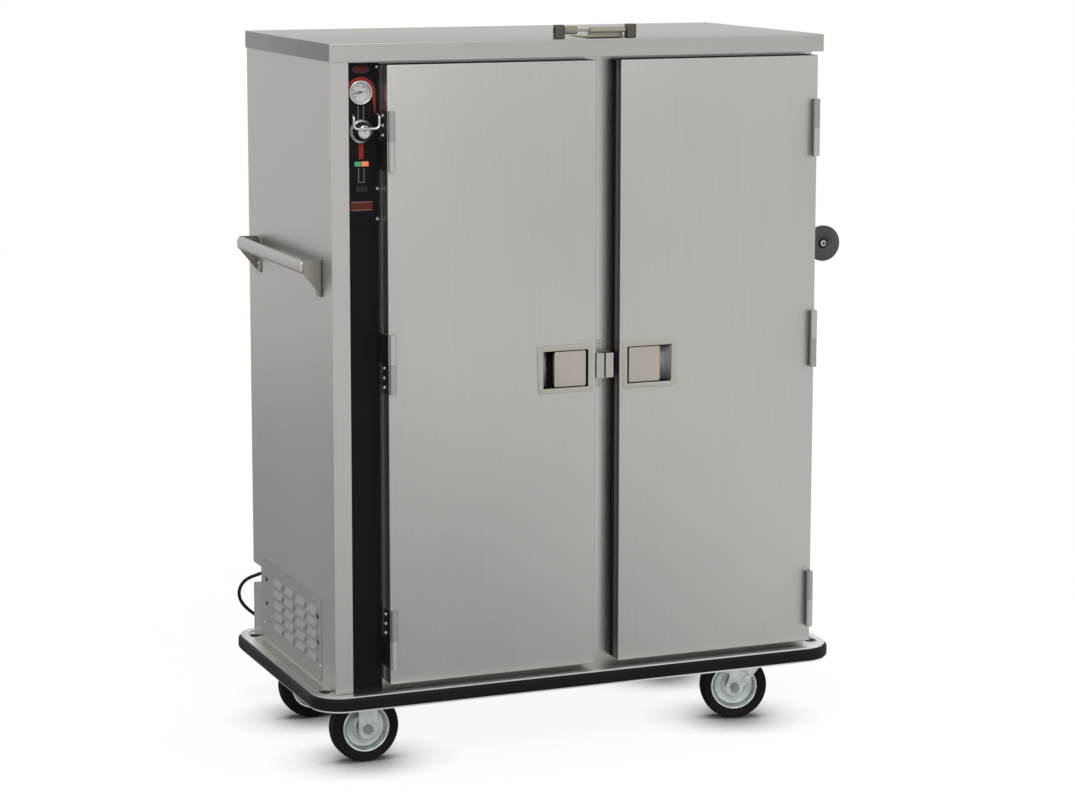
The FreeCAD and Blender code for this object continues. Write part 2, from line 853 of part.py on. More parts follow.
def hinge_door_leaf(side, span):
    x0, x1 = span_x(side, hinge_axis_inset, hinge_axis_inset + hinge_leaf)
    y = hinge_axis(side)[1]
    leaf = box(x0, x1, y, door_front_y + hinge_leaf_depth, span[0], span[1])
    return knuckle(side, span).fuse(leaf).removeSplitter().cut(hinge_bore(side, span, running_clearance))


def hinge_frame_leaf(side, span):
    gap = hinge_axis_inset + slip_fit
    x0, x1 = span_x(side, gap, gap + hinge_leaf)
    y = hinge_axis(side)[1]
    strap = box(x0, x1, y, frame_y, span[0], span[1])
    f0, f1 = span_x(side, gap + hinge_leaf, gap + hinge_leaf - hinge_foot_width)
    foot = box(f0, f1, frame_y - hinge_leaf, frame_y, span[0], span[1])
    leaf = joined([knuckle(side, span), strap, foot])
    return leaf.cut(hinge_bore(side, span, 0))


def hinge_pin(side, middle):
    x, y = hinge_axis(side)
    foot = Vector(x, y, middle - hinge_half_length)
    return Part.makeCylinder(hinge_pin_diameter / 2, 2 * hinge_half_length, foot)


def hinge_halves(side, for_door):
    halves = []
    for middle, upper in zip(hinge_heights, door_half_is_upper):
        door_span, frame_span = hinge_spans(middle, upper)
        halves.append(hinge_door_leaf(side, door_span) if for_door else hinge_frame_leaf(side, frame_span))
    return halves


# Door latches, drawn for the left door and mirrored for the right one

def latch_opening():
    x1 = left_door_x1 - latch_edge_gap - bezel_border
    return x1 - bezel_width + 2 * bezel_border, x1


def latch_housing():
    x0, x1 = latch_opening()
    half = bezel_height / 2
    inner = half - bezel_border
    y_face = door_front_y - bezel_thickness
    y_end = door_front_y + recess_depth
    bezel = box(x0 - bezel_border, x1 + bezel_border, y_face, door_front_y, latch_z - half, latch_z + half)
    pan = box(x0 - recess_wall, x1 + recess_wall, door_front_y, y_end + recess_wall,
              latch_z - inner - recess_wall, latch_z + inner + recess_wall)
    hollow = box(x0, x1, y_face, y_end, latch_z - inner, latch_z + inner)
    x, y = paddle_pivot()
    reach = inner + recess_wall
    holes = rod(paddle_pin_diameter / 2 + running_clearance, Vector(x, y, latch_z - reach),
                Vector(x, y, latch_z + reach))
    return bezel.fuse(pan).removeSplitter().cut(hollow).cut(holes)


def paddle_pivot():
    return latch_opening()[1] - paddle_pivot_from_edge, door_front_y - bezel_thickness + paddle_pivot_depth


def latch_paddle():
    x, y = paddle_pivot()
    inner = bezel_height / 2 - bezel_border
    half = inner - paddle_side_gap
    y_face = door_front_y - bezel_thickness + paddle_set_back
    x1 = x + paddle_tail
    x0 = x1 - paddle_width
    plate = box(x0, x1, y_face, y_face + paddle_thickness, latch_z - half, latch_z + half)
    grip = box(x0, x0 + paddle_thickness, y_face, y_face + paddle_flange, latch_z - half, latch_z + half)
    pin_end = inner + recess_wall
    pin = rod(paddle_pin_diameter / 2, Vector(x, y, latch_z - pin_end), Vector(x, y, latch_z + pin_end))
    webs = [box(x - paddle_pin_diameter, x + paddle_tail, y_face, y + paddle_pin_diameter / 2,
                z, z + paddle_thickness)
            for z in (latch_z - half, latch_z + half - paddle_thickness)]
    return joined([plate, grip, pin] + webs)


def latch_strike(side):
    # Screwed plate on the mullion with an upright keeper block.
    x = mullion_x + side * strike_spacing / 2
    y1 = frame_y
    y0 = y1 - strike_plate_thickness
    plate = box(x - strike_plate_width / 2, x + strike_plate_width / 2, y0, y1,
                latch_z - strike_plate_height / 2, latch_z + strike_plate_height / 2)
    block = box(x - strike_block_width / 2, x + strike_block_width / 2, y1 - strike_block_depth, y0,
                latch_z - strike_block_height / 2, latch_z + strike_block_height / 2)
    return drilled(joined([plate, block]), strike_screws(), Y_AXIS)


# Transport latch on top of the cap

def rod_axis():
    return front_y + latch_rod_back, cabinet_height + latch_rod_height


def latch_right_ear():
    return latch_plate_left + latch_plate_width - latch_ear_width / 2


def latch_brackets():
    y, z = rod_axis()
    ears = []
    for x in (latch_left_ear, latch_right_ear()):
        ear = box(x, x + latch_ear_width, y - latch_ear_depth / 2, y + latch_ear_depth / 2,
                  cabinet_height, cabinet_height + latch_ear_height)
        hole = rod(latch_rod_diameter / 2, Vector(x, y, z), Vector(x + latch_ear_width, y, z))
        ears.append(ear.cut(hole))
    start = Vector(latch_left_ear, y, z)
    end = Vector(latch_right_ear() + latch_ear_width, y, z)
    bar = rod(latch_rod_diameter / 2, start, end)
    spacer_x = latch_left_ear + latch_ear_width
    spacer_start = Vector(spacer_x, y, z)
    spacer_end = Vector(spacer_x + latch_spacer_length, y, z)
    spacer = rod(latch_spacer_diameter / 2, spacer_start, spacer_end)
    spacer = spacer.cut(rod(latch_rod_diameter / 2, spacer_start, spacer_end))
    return ears + [bar, spacer]


def transport_latch():
    # Hook plate hung on the rod, drawn closed in front of the doors and then flipped back.
    y, z = rod_axis()
    x0 = latch_plate_left
    x1 = latch_plate_left + latch_plate_width
    strap_x1 = latch_right_ear() - latch_ear_gap
    y0 = front_y - latch_plate_stand_off - latch_plate_thickness
    y1 = y0 + latch_plate_thickness
    bend_z = cabinet_height + latch_plate_stand_off
    low_z = cabinet_height - latch_plate_drop
    plate = box(x0, x1, y0, y1, low_z, z - latch_strap_short)
    neck = box(x0, strap_x1, y0, y1, z - latch_strap_short, bend_z)
    strap = box(x0, strap_x1, y0, y, bend_z, bend_z + latch_plate_thickness)
    riser = box(x0, strap_x1, y - latch_plate_thickness / 2, y + latch_plate_thickness / 2, bend_z, z)
    sleeve = rod(latch_sleeve_diameter / 2, Vector(x0, y, z), Vector(strap_x1, y, z))
    bore = rod(latch_rod_diameter / 2 + running_clearance, Vector(x0, y, z), Vector(strap_x1, y, z))
    closed = joined([plate, neck, strap, riser, sleeve]).cut(bore)
    return turned(closed, Vector(0, y, z), X_AXIS, -latch_open_angle)


# Control column

def control_point(drop):
    return Vector(panel_mid_x, panel_front_y, panel_top - drop)


def tray(y, z0, z1):
    # Shallow pan with its edges turned back to the frame.
    t = panel_thickness
    pan = box(panel_left_x, panel_right_x, y, frame_y, z0, z1)
    return pan.cut(box(panel_left_x + t, panel_right_x - t, y + t, frame_y, z0 + t, z1 - t))


def control_panel():
    plate = tray(panel_front_y, panel_bottom, panel_top)
    shaft = control_point(knob_drop)
    hole = rod(knob_shaft_diameter / 2 + running_clearance, shaft, shaft.add(Vector(0, panel_thickness, 0)))
    rim = switch_rim
    at = control_point(switch_drop)
    half_x = switch_width / 2
    half_z = switch_height / 2
    bezel = box(at.x - half_x, at.x + half_x, at.y - switch_bezel, at.y, at.z - half_z, at.z + half_z)
    well = box(at.x - half_x + rim, at.x + half_x - rim, at.y - switch_bezel, frame_y,
               at.z - half_z + rim, at.z + half_z - rim)
    gauge = control_point(gauge_drop)
    seat = rod(gauge_body_diameter / 2 + screw_clearance, gauge, gauge.add(Vector(0, panel_depth, 0)))
    plate = plate.fuse(bezel).removeSplitter().cut(hole).cut(well).cut(seat)
    return drilled(plate, panel_screws(), Y_AXIS)


def column_cover():
    return tray(panel_front_y + panel_thickness, deck_top, panel_bottom)


def thermometer_case():
    centre = control_point(gauge_drop)
    front = centre.sub(Vector(0, gauge_height, 0))
    back = centre.add(Vector(0, gauge_depth, 0))
    flange = rod(gauge_diameter / 2, centre, front)
    body = rod(gauge_body_diameter / 2, centre, back)
    dial_plane = back.sub(Vector(0, gauge_back, 0))
    well = rod(gauge_diameter / 2 - gauge_wall, dial_plane, front)
    post = rod(needle_post_diameter / 2, dial_plane, dial_plane.sub(Vector(0, needle_post_length, 0)))
    return joined([joined([flange, body]).cut(well), post])


def thermometer_needle():
    centre = control_point(gauge_drop)
    y1 = centre.y + gauge_depth - gauge_back - needle_thickness
    y0 = y1 - needle_thickness
    half = needle_width / 2
    points = [Vector(-needle_tail, y0, -half), Vector(0, y0, -half), Vector(needle_length, y0, -half / 3),
              Vector(needle_length, y0, half / 3), Vector(0, y0, half), Vector(-needle_tail, y0, half)]
    blade = prism(points, Vector(0, needle_thickness, 0))
    hub = rod(needle_post_diameter, Vector(0, y0, 0), Vector(0, y1, 0))
    bore = rod(needle_post_diameter / 2 + running_clearance, Vector(0, y0, 0), Vector(0, y1, 0))
    needle = joined([blade, hub]).cut(bore)
    needle = turned(needle, Vector(0, 0, 0), Y_AXIS, needle_angle)
    return moved(needle, centre.x, 0, centre.z)


def thermostat_knob():
    centre = control_point(knob_drop)
    seat = centre.sub(Vector(0, knob_gap, 0))
    skirt_top = seat.sub(Vector(0, knob_skirt_height, 0))
    grip_top = seat.sub(Vector(0, knob_height, 0))
    skirt = cone(knob_skirt_diameter / 2, knob_skirt_diameter / 2 - knob_skirt_height / 2, seat, skirt_top)
    grip = rod(knob_grip_diameter / 2, skirt_top, grip_top)
    shaft = rod(knob_shaft_diameter / 2, seat, seat.add(Vector(0, knob_shaft_length, 0)))
    return joined([skirt, grip, shaft])


def bent_wire(points, bend):
    # Path of straight runs with a tangent arc of one radius at each inner corner.
    edges = []
    at = points[0]
    for i in range(1, len(points) - 1):
        back = points[i - 1].sub(points[i]).normalize()
        ahead = points[i + 1].sub(points[i]).normalize()
        half = math.acos(max(-1.0, min(1.0, back.dot(ahead)))) / 2
        radius = bend[i - 1] if isinstance(bend, list) else bend
        trim = radius / math.tan(half)
        start = points[i].add(back * trim)
        end = points[i].add(ahead * trim)
        inward = back.add(ahead).normalize()
        middle = points[i].add(inward * (radius / math.sin(half) - radius))
        edges.append(Part.LineSegment(at, start).toShape())
        edges.append(Part.Arc(start, middle, end).toShape())
        at = end
    edges.append(Part.LineSegment(at, points[-1]).toShape())
    return Part.Wire(edges)


def swept(wire, diameter):
    first = wire.Edges[0]
    start = first.valueAt(first.FirstParameter)
    along = first.tangentAt(first.FirstParameter)
    ring = Part.Wire([Part.makeCircle(diameter / 2, start, along)])
    return wire.makePipeShell([ring], True, False)


def knob_guard():
    knob = control_point(knob_drop)
    back = panel_front_y
    front = back - guard_reach + guard_wire / 2
    high = knob.z + guard_rise
    low = high - guard_fall
    x0 = knob.x - guard_width / 2 + guard_wire / 2
    x1 = knob.x + guard_width / 2 - guard_wire / 2
    corners = [Vector(x0, back, high), Vector(x0, front, high), Vector(x0, front, low),
               Vector(x1, front, low), Vector(x1, front, high), Vector(x1, back, high)]
    return swept(bent_wire(corners, guard_bend), guard_wire)


def pilot_lights():
    at = control_point(light_drop)
    lenses = []
    for side in (-1, 1):
        x = at.x + side * light_spacing / 2
        lens = box(x - light_width / 2, x + light_width / 2, at.y - light_depth, at.y,
                   at.z - light_height / 2, at.z + light_height / 2)
        front = [e for e in lens.Edges if abs(e.CenterOfMass.y - (at.y - light_depth)) < 0.01]
        lenses.append(lens.makeFillet(light_depth / 3, front))
    return lenses


def rocker_pivot():
    at = control_point(switch_drop)
    return at.sub(Vector(0, switch_bezel, 0))


def switch_rocker():
    # Rocker lying left to right, drawn tipped to one side.
    at = rocker_pivot()
    half_x = switch_width / 2 - switch_rim - rocker_gap
    half_z = switch_height / 2 - switch_rim - rocker_gap
    drop = half_x * math.sin(math.radians(rocker_tilt))
    reach = half_x * math.cos(math.radians(rocker_tilt)) - rocker_gap
    points = [Vector(-reach, 0, -half_z), Vector(0, drop / 2, -half_z), Vector(reach, 0, -half_z),
              Vector(reach - rocker_gap, rocker_depth - drop, -half_z),
              Vector(rocker_gap - reach, rocker_depth - drop, -half_z)]
    body = prism(points, Vector(0, 0, 2 * half_z))
    body = turned(body, Vector(0, 0, 0), Z_AXIS, rocker_tilt)
    return moved(body, at.x, at.y, at.z)


# Heating and air, in the column behind the controls

def blower_centre():
    x1 = inner_left_x - liner_sheet - blower_side_gap
    y = front_y + blower_centre_back + door_thickness
    return Vector(x1 - blower_drum_width / 2, y, deck_top + blower_centre_height)


def blower_unit():
    c = blower_centre()
    half = blower_drum_width / 2
    left = Vector(c.x - half, c.y, c.z)
    right = Vector(c.x + half, c.y, c.z)
    drum = rod(blower_drum_radius, left, right)
    spout_z = c.z + blower_outlet_height
    y1 = c.y + blower_drum_radius
    spout = box(c.x - half, c.x + half, c.y, y1, c.z, spout_z)
    foot = box(c.x - half, c.x + half, c.y - blower_foot / 2, c.y + blower_foot / 2, deck_top, c.z)
    w = blower_wall
    inner_left = Vector(c.x - half + w, c.y, c.z)
    inner_right = Vector(c.x + half - w, c.y, c.z)
    hollow = rod(blower_drum_radius - w, inner_left, inner_right)
    spout_hollow = box(c.x - half + w, c.x + half - w, c.y, y1 - w, c.z, spout_z)
    inlet = rod(blower_inlet_radius, inner_right, right)
    shaft_hole = rod(motor_shaft_diameter, left, inner_left)
    shell = joined([drum, spout, foot]).cut(hollow).cut(spout_hollow).cut(inlet).cut(shaft_hole)
    motor_left = left.sub(Vector(motor_length, 0, 0))
    motor_body = rod(motor_radius, motor_left, left)
    shaft_end = Vector(c.x + blower_wheel_width / 2, c.y, c.z)
    shaft = rod(motor_shaft_diameter / 2, left, shaft_end)
    return [shell, joined([motor_body, shaft])]


def blower_wheel():
    c = blower_centre()
    half = blower_wheel_width / 2
    start = Vector(c.x - half, c.y, c.z)
    end = Vector(c.x + half, c.y, c.z)
    step = Vector(blower_disc, 0, 0)
    pieces = [rod(blower_wheel_radius, start, start.add(step)), rod(blower_hub_diameter / 2, start, end)]
    ring = rod(blower_wheel_radius, end.sub(step), end)
    pieces.append(ring.cut(rod(blower_wheel_radius - blower_blade_depth, end.sub(step), end)))
    blade = box(c.x - half, c.x + half, c.y - blower_blade_thickness / 2, c.y + blower_blade_thickness / 2,
                c.z + blower_wheel_radius - blower_blade_depth + blower_disc,
                c.z + blower_wheel_radius - blower_disc)
    for i in range(blower_blade_count):
        pieces.append(turned(blade, c, X_AXIS, 360.0 * i / blower_blade_count))
    return joined(pieces).cut(rod(motor_shaft_diameter / 2 + running_clearance, start, end))


def heating_element():
    # Tubular hairpin on a flange behind the column's front plate.
    x = (-wall_x + inner_left_x) / 2
    y0 = frame_back_y
    z0 = deck_top + element_height
    z1 = z0 + element_spacing
    y1 = y0 + element_length
    mid = (z0 + z1) / 2
    bend = element_spacing / 2
    edges = [Part.LineSegment(Vector(x, y0, z0), Vector(x, y1, z0)).toShape(),
             Part.Arc(Vector(x, y1, z0), Vector(x, y1 + bend, mid), Vector(x, y1, z1)).toShape(),
             Part.LineSegment(Vector(x, y1, z1), Vector(x, y0, z1)).toShape()]
    hairpin = swept(Part.Wire(edges), element_diameter)
    margin = element_diameter * 2
    flange = box(x - margin, x + margin, y0, y0 + element_flange, z0 - margin, z1 + margin)
    return joined([flange, hairpin])


# Left side service panel

def louvre_box():
    return (front_y + louvre_front, front_y + louvre_back, deck_top + louvre_bottom, deck_top + louvre_top)


def louvre_panel():
    y0, y1, z0, z1 = louvre_box()
    x1 = -wall_x
    x0 = x1 - louvre_thickness
    plate = box(x0, x1, y0, y1, z0, z1)
    t = louvre_thickness
    mid_z = (z0 + z1) / 2
    hoods = []
    slots = []
    for i in range(louvre_columns):
        y = y0 + louvre_first_column + i * louvre_column_pitch
        a = y - louvre_slot_length / 2
        b = y + louvre_slot_length / 2
        for k in range(louvre_rows):
            z = mid_z + (k - (louvre_rows - 1) / 2) * louvre_row_pitch
            slots.append(box(x0, x1, a + t, b - t, z, z + louvre_slot_height))
            top = z + louvre_hood_height
            outline = [Vector(x0, a, top), Vector(x0 - louvre_hood, a, z), Vector(x0, a, z)]
            hollow = [Vector(x0, a + t, top - 2 * t), Vector(x0 - louvre_hood + t, a + t, z),
                      Vector(x0, a + t, z)]
            hood = prism(outline, Vector(0, louvre_slot_length, 0))
            hoods.append(hood.cut(prism(hollow, Vector(0, louvre_slot_length - 2 * t, 0))))
    panel = joined([plate.cut(Part.makeCompound(slots))] + hoods)
    return drilled(panel, louvre_screws(), X_AXIS)


# Screws, given as the point under each head

def panel_screws():
    xs = (panel_left_x + panel_screw_inset, panel_right_x - panel_screw_inset)
    heights = (panel_top - panel_screw_top, panel_bottom + panel_screw_middle,
               panel_bottom + panel_screw_low)
    return [Vector(x, panel_front_y, z) for x in xs for z in heights]


def strike_screws():
    xs = (mullion_x - strike_spacing / 2, mullion_x + strike_spacing / 2)
    half = strike_screw_spacing / 2
    y = frame_y - strike_plate_thickness
    return [Vector(x, y, latch_z + side * half) for x in xs for side in (-1, 1)]


def louvre_screws():
    y0, y1, z0, z1 = louvre_box()
    x = -wall_x - louvre_thickness
    low_ys = (y0 + louvre_low_screw_front, y1 - louvre_low_screw_back)
    low = [Vector(x, y, z0 + louvre_low_screw_rise) for y in low_ys]
    studs = [Vector(x, y, z1 - drop) for y in (y0 + louvre_stud_front, y1 - louvre_stud_back)
             for drop in louvre_stud_drops]
    return low + studs


def handle_screws():
    # Left handle, one pair through each wall flange.
    y0 = front_y + handle_front
    y1 = y0 + handle_length
    ys = (y0 + (handle_plate + handle_flange) / 2, y1 - (handle_plate + handle_flange) / 2)
    mid = handle_top - handle_bracket_height / 2
    half = handle_screw_spacing / 2
    return [Vector(-wall_x - handle_plate, y, mid + side * half) for y in ys for side in (-1, 1)]


def drilled(shape, screws, into):
    radius = screw_shank_diameter / 2 + screw_clearance
    reach = into * panel_screw_length
    holes = [rod(radius, at.sub(reach), at.add(reach)) for at in screws]
    return shape.cut(Part.makeCompound(holes))


def screw(at, into, length=screw_shank_length):
    top = at.sub(into * screw_head_height)
    head = cone(screw_head_diameter / 2, screw_head_diameter / 3, at, top)
    shank = rod(screw_shank_diameter / 2, at, at.add(into * length))
    return joined([head, shank])


def cabinet_screws():
    panel = [screw(at, Y_AXIS, panel_screw_length) for at in panel_screws()]
    strikes = [screw(at, Y_AXIS) for at in strike_screws()]
    side = [screw(at, X_AXIS) for at in louvre_screws()]
    handle = [screw(at, X_AXIS, handle_screw_length) for at in handle_screws()]
    return panel + strikes + side + handle + [mirrored_x(one, 0) for one in handle]


# Push handles and door bumper

def push_handle():
    # Left handle: a rounded bar between two triangular end plates.
    x0 = -wall_x - handle_reach
    x1 = x0 + handle_bar_depth
    y0 = front_y + handle_front
    y1 = y0 + handle_length
    z0 = handle_top - handle_bar_height
    bar = box(x0, x1, y0, y1, z0, handle_top)
    long_edges = [e for e in bar.Edges
                  if abs(e.CenterOfMass.x - x0) < 0.01 and abs(e.tangentAt(e.FirstParameter).y) > 0.9]
    bar = bar.makeFillet(handle_round, long_edges)
    ends = []
    for y in (y0, y1 - handle_plate):
        outline = [Vector(x0 + handle_round, y, handle_top), Vector(-wall_x, y, handle_top),
                   Vector(-wall_x, y, handle_top - handle_bracket_height), Vector(x0 + handle_round, y, z0)]
        ends.append(prism(outline, Vector(0, handle_plate, 0)))
    low = handle_top - handle_bracket_height
    for y in (y0, y1 - handle_flange):
        ends.append(box(-wall_x - handle_plate, -wall_x, y, y + handle_flange, low, handle_top))
    holes = [Vector(at.x, at.y, at.z) for at in handle_screws()]
    return drilled(joined([bar] + ends), holes, X_AXIS)


def door_bumper():
    x = wall_x + disc_out
    y0 = front_y + disc_front
    y1 = y0 + disc_depth
    z = handle_mid_z
    disc = rod(disc_diameter / 2, Vector(x, y1, z), Vector(x, y0, z))
    rims = [e for e in disc.Edges if e.Closed]
    disc = disc.makeFillet(disc_depth / 4, rims)
    dish = cone(disc_dish_diameter / 2, disc_dish_diameter / 4, Vector(x, y0, z),
                Vector(x, y0 + disc_dish_depth, z))
    stem = rod(disc_stem_diameter / 2, Vector(x, y1, z), Vector(x, front_y + handle_front, z))
    head = rod(disc_screw_radius, Vector(x, y0 + disc_dish_depth / 2, z), Vector(x, y1, z))
    return joined([disc.cut(dish), stem, head])


# Power cord

def gland_foot():
    return Vector(-wall_x + gland_side, pocket_y0, pocket_z0 + gland_rise)


def cord_gland():
    foot = gland_foot()
    tip = foot.add(Vector(0, gland_length, 0))
    collar = foot.add(Vector(0, gland_length / 4, 0))
    flange = rod(gland_diameter / 2, foot, collar)
    sleeve = cone(gland_diameter / 2 - 1, gland_tip_diameter / 2, collar, tip)
    return joined([flange, sleeve])


def cord_floor_z():
    return cord_diameter / 2 + cord_floor_gap


def coil_centre():
    y = bumper_half_y + coil_behind_bumper + coil_first_radius + cord_diameter / 2
    return Vector(coil_centre_x, y, cord_floor_z())


def cord_route():
    # Hand-chosen points from the gland's tip, down behind the cabinet to the coil.
    start = gland_foot().add(Vector(0, gland_length, 0))
    c = coil_centre()
    end = Vector(c.x - cord_diameter, c.y - coil_first_radius, c.z)
    level = Vector(start.x, start.y + cord_first_run, start.z)
    settle = Vector(end.x - cord_last_run, end.y, end.z)
    return [start, level, Vector(-549.5, 306, 315.5), Vector(-557, 323, 307.5), Vector(-567, 341, 299),
            Vector(-573.5, 361, 287.5), Vector(-577.5, 379, 272), Vector(-578, 394, 255),
            Vector(-574, 404, 237.5), Vector(-566, 411, 222.5), Vector(-554.5, 416, 208.5),
            Vector(-541, 419, 196.5), Vector(-526, 421, 184),
            Vector(-511, 421.5, 169), Vector(-497, 420, 151), Vector(-484, 416, 128), Vector(-472, 409, 102),
            Vector(-459, 399, 75), Vector(-443, 385, 48), Vector(-421, 369, 26), Vector(-390, 353, 11),
            Vector(-352, 342, 5.2), settle, end]


def route_radii(points):
    radii = []
    for i in range(1, len(points) - 1):
        back = points[i - 1].sub(points[i])
        ahead = points[i + 1].sub(points[i])
        shorter = min(back.Length, ahead.Length)
        turn = math.pi - back.getAngle(ahead)
        radii.append(0.45 * shorter / math.tan(turn / 2))
    return radii


def power_cord():
    points = cord_route()
    radii = route_radii(points)
    wire = bent_wire(points, radii)
    tube = swept(wire, cord_diameter)
    section = math.pi * cord_diameter ** 2 / 4
    print("cord radii", [round(r) for r in radii])
    print("cord length", round(wire.Length), "volume share", round(tube.Volume / (section * wire.Length), 4))
    return tube


def half_turn(start, centre_x, centre_y, radius, z, up):
    # Half circle about a centre, from one side of it to the other, counter-clockwise.
    side = 1 if up else -1
    middle = Vector(centre_x + side * radius, centre_y, z)
    end = Vector(centre_x, centre_y + side * radius, z)
    return Part.Arc(start, middle, end).toShape(), end


def coil_path():
    # Turns wind inwards on the floor, climb one layer in a half turn and wind outwards on top.
    c = coil_centre()
    half_pitch = coil_pitch / 2
    radius = coil_first_radius
    start = Vector(c.x - cord_diameter, c.y - radius, c.z)
    at = Vector(c.x, c.y - radius, c.z)
    edges = [Part.LineSegment(start, at).toShape()]
    centre_y = c.y
    up = True
    for i in range(coil_half_turns):
        arc, at = half_turn(at, c.x, centre_y, radius, c.z, up)
        edges.append(arc)
        radius -= half_pitch
        centre_y += half_pitch if up else -half_pitch
        up = not up
    side = 1 if up else -1
    bulge = math.sqrt(radius ** 2 + half_pitch ** 2)
    middle = Vector(c.x + side * bulge, centre_y, c.z + half_pitch)
    top = Vector(c.x, centre_y + side * radius, c.z + coil_pitch)
    edges.append(arc_from_tangent(at, Vector(side, 0, 0), middle))
    edges.append(reversed_arc(top, Vector(side, 0, 0), middle))
    at = top
    z = c.z + coil_pitch
    up = not up
    for i in range(coil_half_turns + 1):
        radius += half_pitch
        centre_y += half_pitch if up else -half_pitch
        arc, at = half_turn(at, c.x, centre_y, radius, z, up)
        edges.append(arc)
        up = not up
    side = 1 if up else -1
    lead = at.add(Vector(side * coil_lead_out, 0, 0))
    edges.append(Part.LineSegment(at, lead).toShape())
    return edges, lead, side


def arc_middle(start, tangent, end):
    # Middle point of the circular arc that leaves start along a tangent and ends at end.
    chord = end.sub(start)
    length = chord.Length
    along = chord * (1 / length)
    cosine = max(-1.0, min(1.0, tangent.dot(along)))
    normal = tangent.sub(along * cosine).normalize()
    half = math.acos(cosine)
    rise = length / 2 * math.tan(half / 2)
    return start.add(chord * 0.5).add(normal * rise)


def arc_from_tangent(start, tangent, end):
    return Part.Arc(start, arc_middle(start, tangent, end), end).toShape()


def reversed_arc(end, tangent, start):
    return Part.Arc(start, arc_middle(end, tangent, start), end).toShape()


def coil_self_gap(edges):
    # Least distance between turns, on points along the path more than a few diameters apart.
    wire = Part.Wire(edges)
    count = int(wire.Length / (cord_diameter / 2))
    points = wire.discretize(Number=count)
    step = wire.Length / (count - 1)
    skip = int(6 * cord_diameter / step)
    least = min(points[i].distanceToPoint(points[k])
                for i in range(count) for k in range(i + skip, count))
    return least - cord_diameter


def cord_coil():
    edges, end, side = coil_path()
    wire = Part.Wire(edges)
    tube = swept(wire, cord_diameter)
    section = math.pi * cord_diameter ** 2 / 4
    print("coil length", round(wire.Length), "volume share", round(tube.Volume / (section * wire.Length), 4))
    print("coil least gap", round(coil_self_gap(edges), 2))
    return tube


def power_plug():
    edges, start, side = coil_path()
    along = Vector(side, 0, 0)
    neck = start.add(along * plug_taper)
    face = neck.add(along * plug_length)
    taper = cone(plug_tip_diameter / 2, plug_height / 2 - 1, start, neck)
    x0 = min(neck.x, face.x)
    body = box(x0, x0 + plug_length, neck.y - plug_width / 2, neck.y + plug_width / 2,
               neck.z - plug_height / 2, neck.z + plug_height / 2)
    body = body.makeFillet(plug_height / 5, body.Edges)
    blades = []
    for k in (-1, 1):
        y = face.y + k * blade_spacing / 2
        tip = face.x + side * blade_length
        blades.append(box(min(face.x - side, tip), max(face.x - side, tip), y - blade_thickness / 2,
                          y + blade_thickness / 2, face.z - blade_width / 2, face.z + blade_width / 2))
    return joined([taper, body] + blades)


def write_base():
    write("deck_plate", [deck_plate()])
    write("bumper_channel", [bumper_channel()])
    write("bumper_strip", [bumper_strip()])


def write_casters():
    fixed = []
    for side in (-1, 1):
        y = side * rigid_caster_y
        fixed.append(moved(rigid_fork(), -rigid_caster_x, y, 0))
        fixed.append(moved(axle_bolt(), -rigid_caster_x, y, axle_z))
        fixed.append(moved(swivel_plate(), caster_x, side * caster_y, 0))
    write("caster_mounts", fixed)
    for name, side, angle in (("front", -1, front_swivel_angle), ("rear", 1, rear_swivel_angle)):
        left_y = side * rigid_caster_y
        write(name + "_left_tyre", [moved(tyre(), -rigid_caster_x, left_y, axle_z)])
        write(name + "_left_rim", [moved(rim(), -rigid_caster_x, left_y, axle_z)])
        y = side * caster_y
        trailing = [moved(piece, -caster_trail, 0, axle_z) for piece in (tyre(), rim(), axle_bolt())]
        write(name + "_right_tyre", [swivelled(trailing[0], y, angle)])
        write(name + "_right_rim", [swivelled(trailing[1], y, angle)])
        write(name + "_right_fork", [swivelled(swivel_fork(), y, angle), swivelled(trailing[2], y, angle)])
        write(name + "_right_brake", [swivelled(brake_lever(), y, angle)])


def write_shell():
    write("left_side_panel", [left_side_panel()])
    write("body_wrap", [body_wrap()])
    write("top_cap", [top_cap()])
    write("front_frame", [front_frame()])
    write("louvre_panel", [louvre_panel()])
    write("door_gaskets", [door_gasket(left_door_x0, left_door_x1),
                           door_gasket(right_door_x0, right_door_x1)])
    handle = push_handle()
    write("push_handles", [handle, mirrored_x(handle, 0)])
    write("door_bumper", [door_bumper()])
    write("cabinet_screws", cabinet_screws())


def write_compartments():
    write("inner_liner", [inner_liner()])
    write("air_panels", [air_panel(left_air_panel_x(), (1,)), air_panel(mullion_x, (-1, 1))])
    write("wire_shelves", wire_shelves())
    write("wall_insulation", wall_insulation())


def write_doors():
    cut_x0, cut_x1 = latch_opening()
    housing = latch_housing()
    paddle = latch_paddle()
    right_cut = (2 * mullion_x - cut_x1, 2 * mullion_x - cut_x0)
    sides = (("left", left_door_x0, left_door_x1, (cut_x0, cut_x1), -1),
             ("right", right_door_x0, right_door_x1, right_cut, 1))
    for name, x0, x1, cut, side in sides:
        write(name + "_door_shell", [door_shell(x0, x1, cut[0], cut[1])])
        write(name + "_door_pan", [door_pan(x0, x1)])
        write(name + "_door_core", [door_core(x0, x1, cut[0], cut[1])])
        write(name + "_hinge_leaves", hinge_halves(side, True))
        write(name + "_latch_housing", [housing if side < 0 else mirrored_x(housing, mullion_x)])
        write(name + "_latch_paddle", [paddle if side < 0 else mirrored_x(paddle, mullion_x)])
    fixed = hinge_halves(-1, False) + hinge_halves(1, False)
    pins = [hinge_pin(side, middle) for side in (-1, 1) for middle in hinge_heights]
    write("hinge_frame_leaves", fixed + pins)
    write("latch_strikes", [latch_strike(-1), latch_strike(1)])
    write("latch_brackets", latch_brackets())
    write("transport_latch", [transport_latch()])


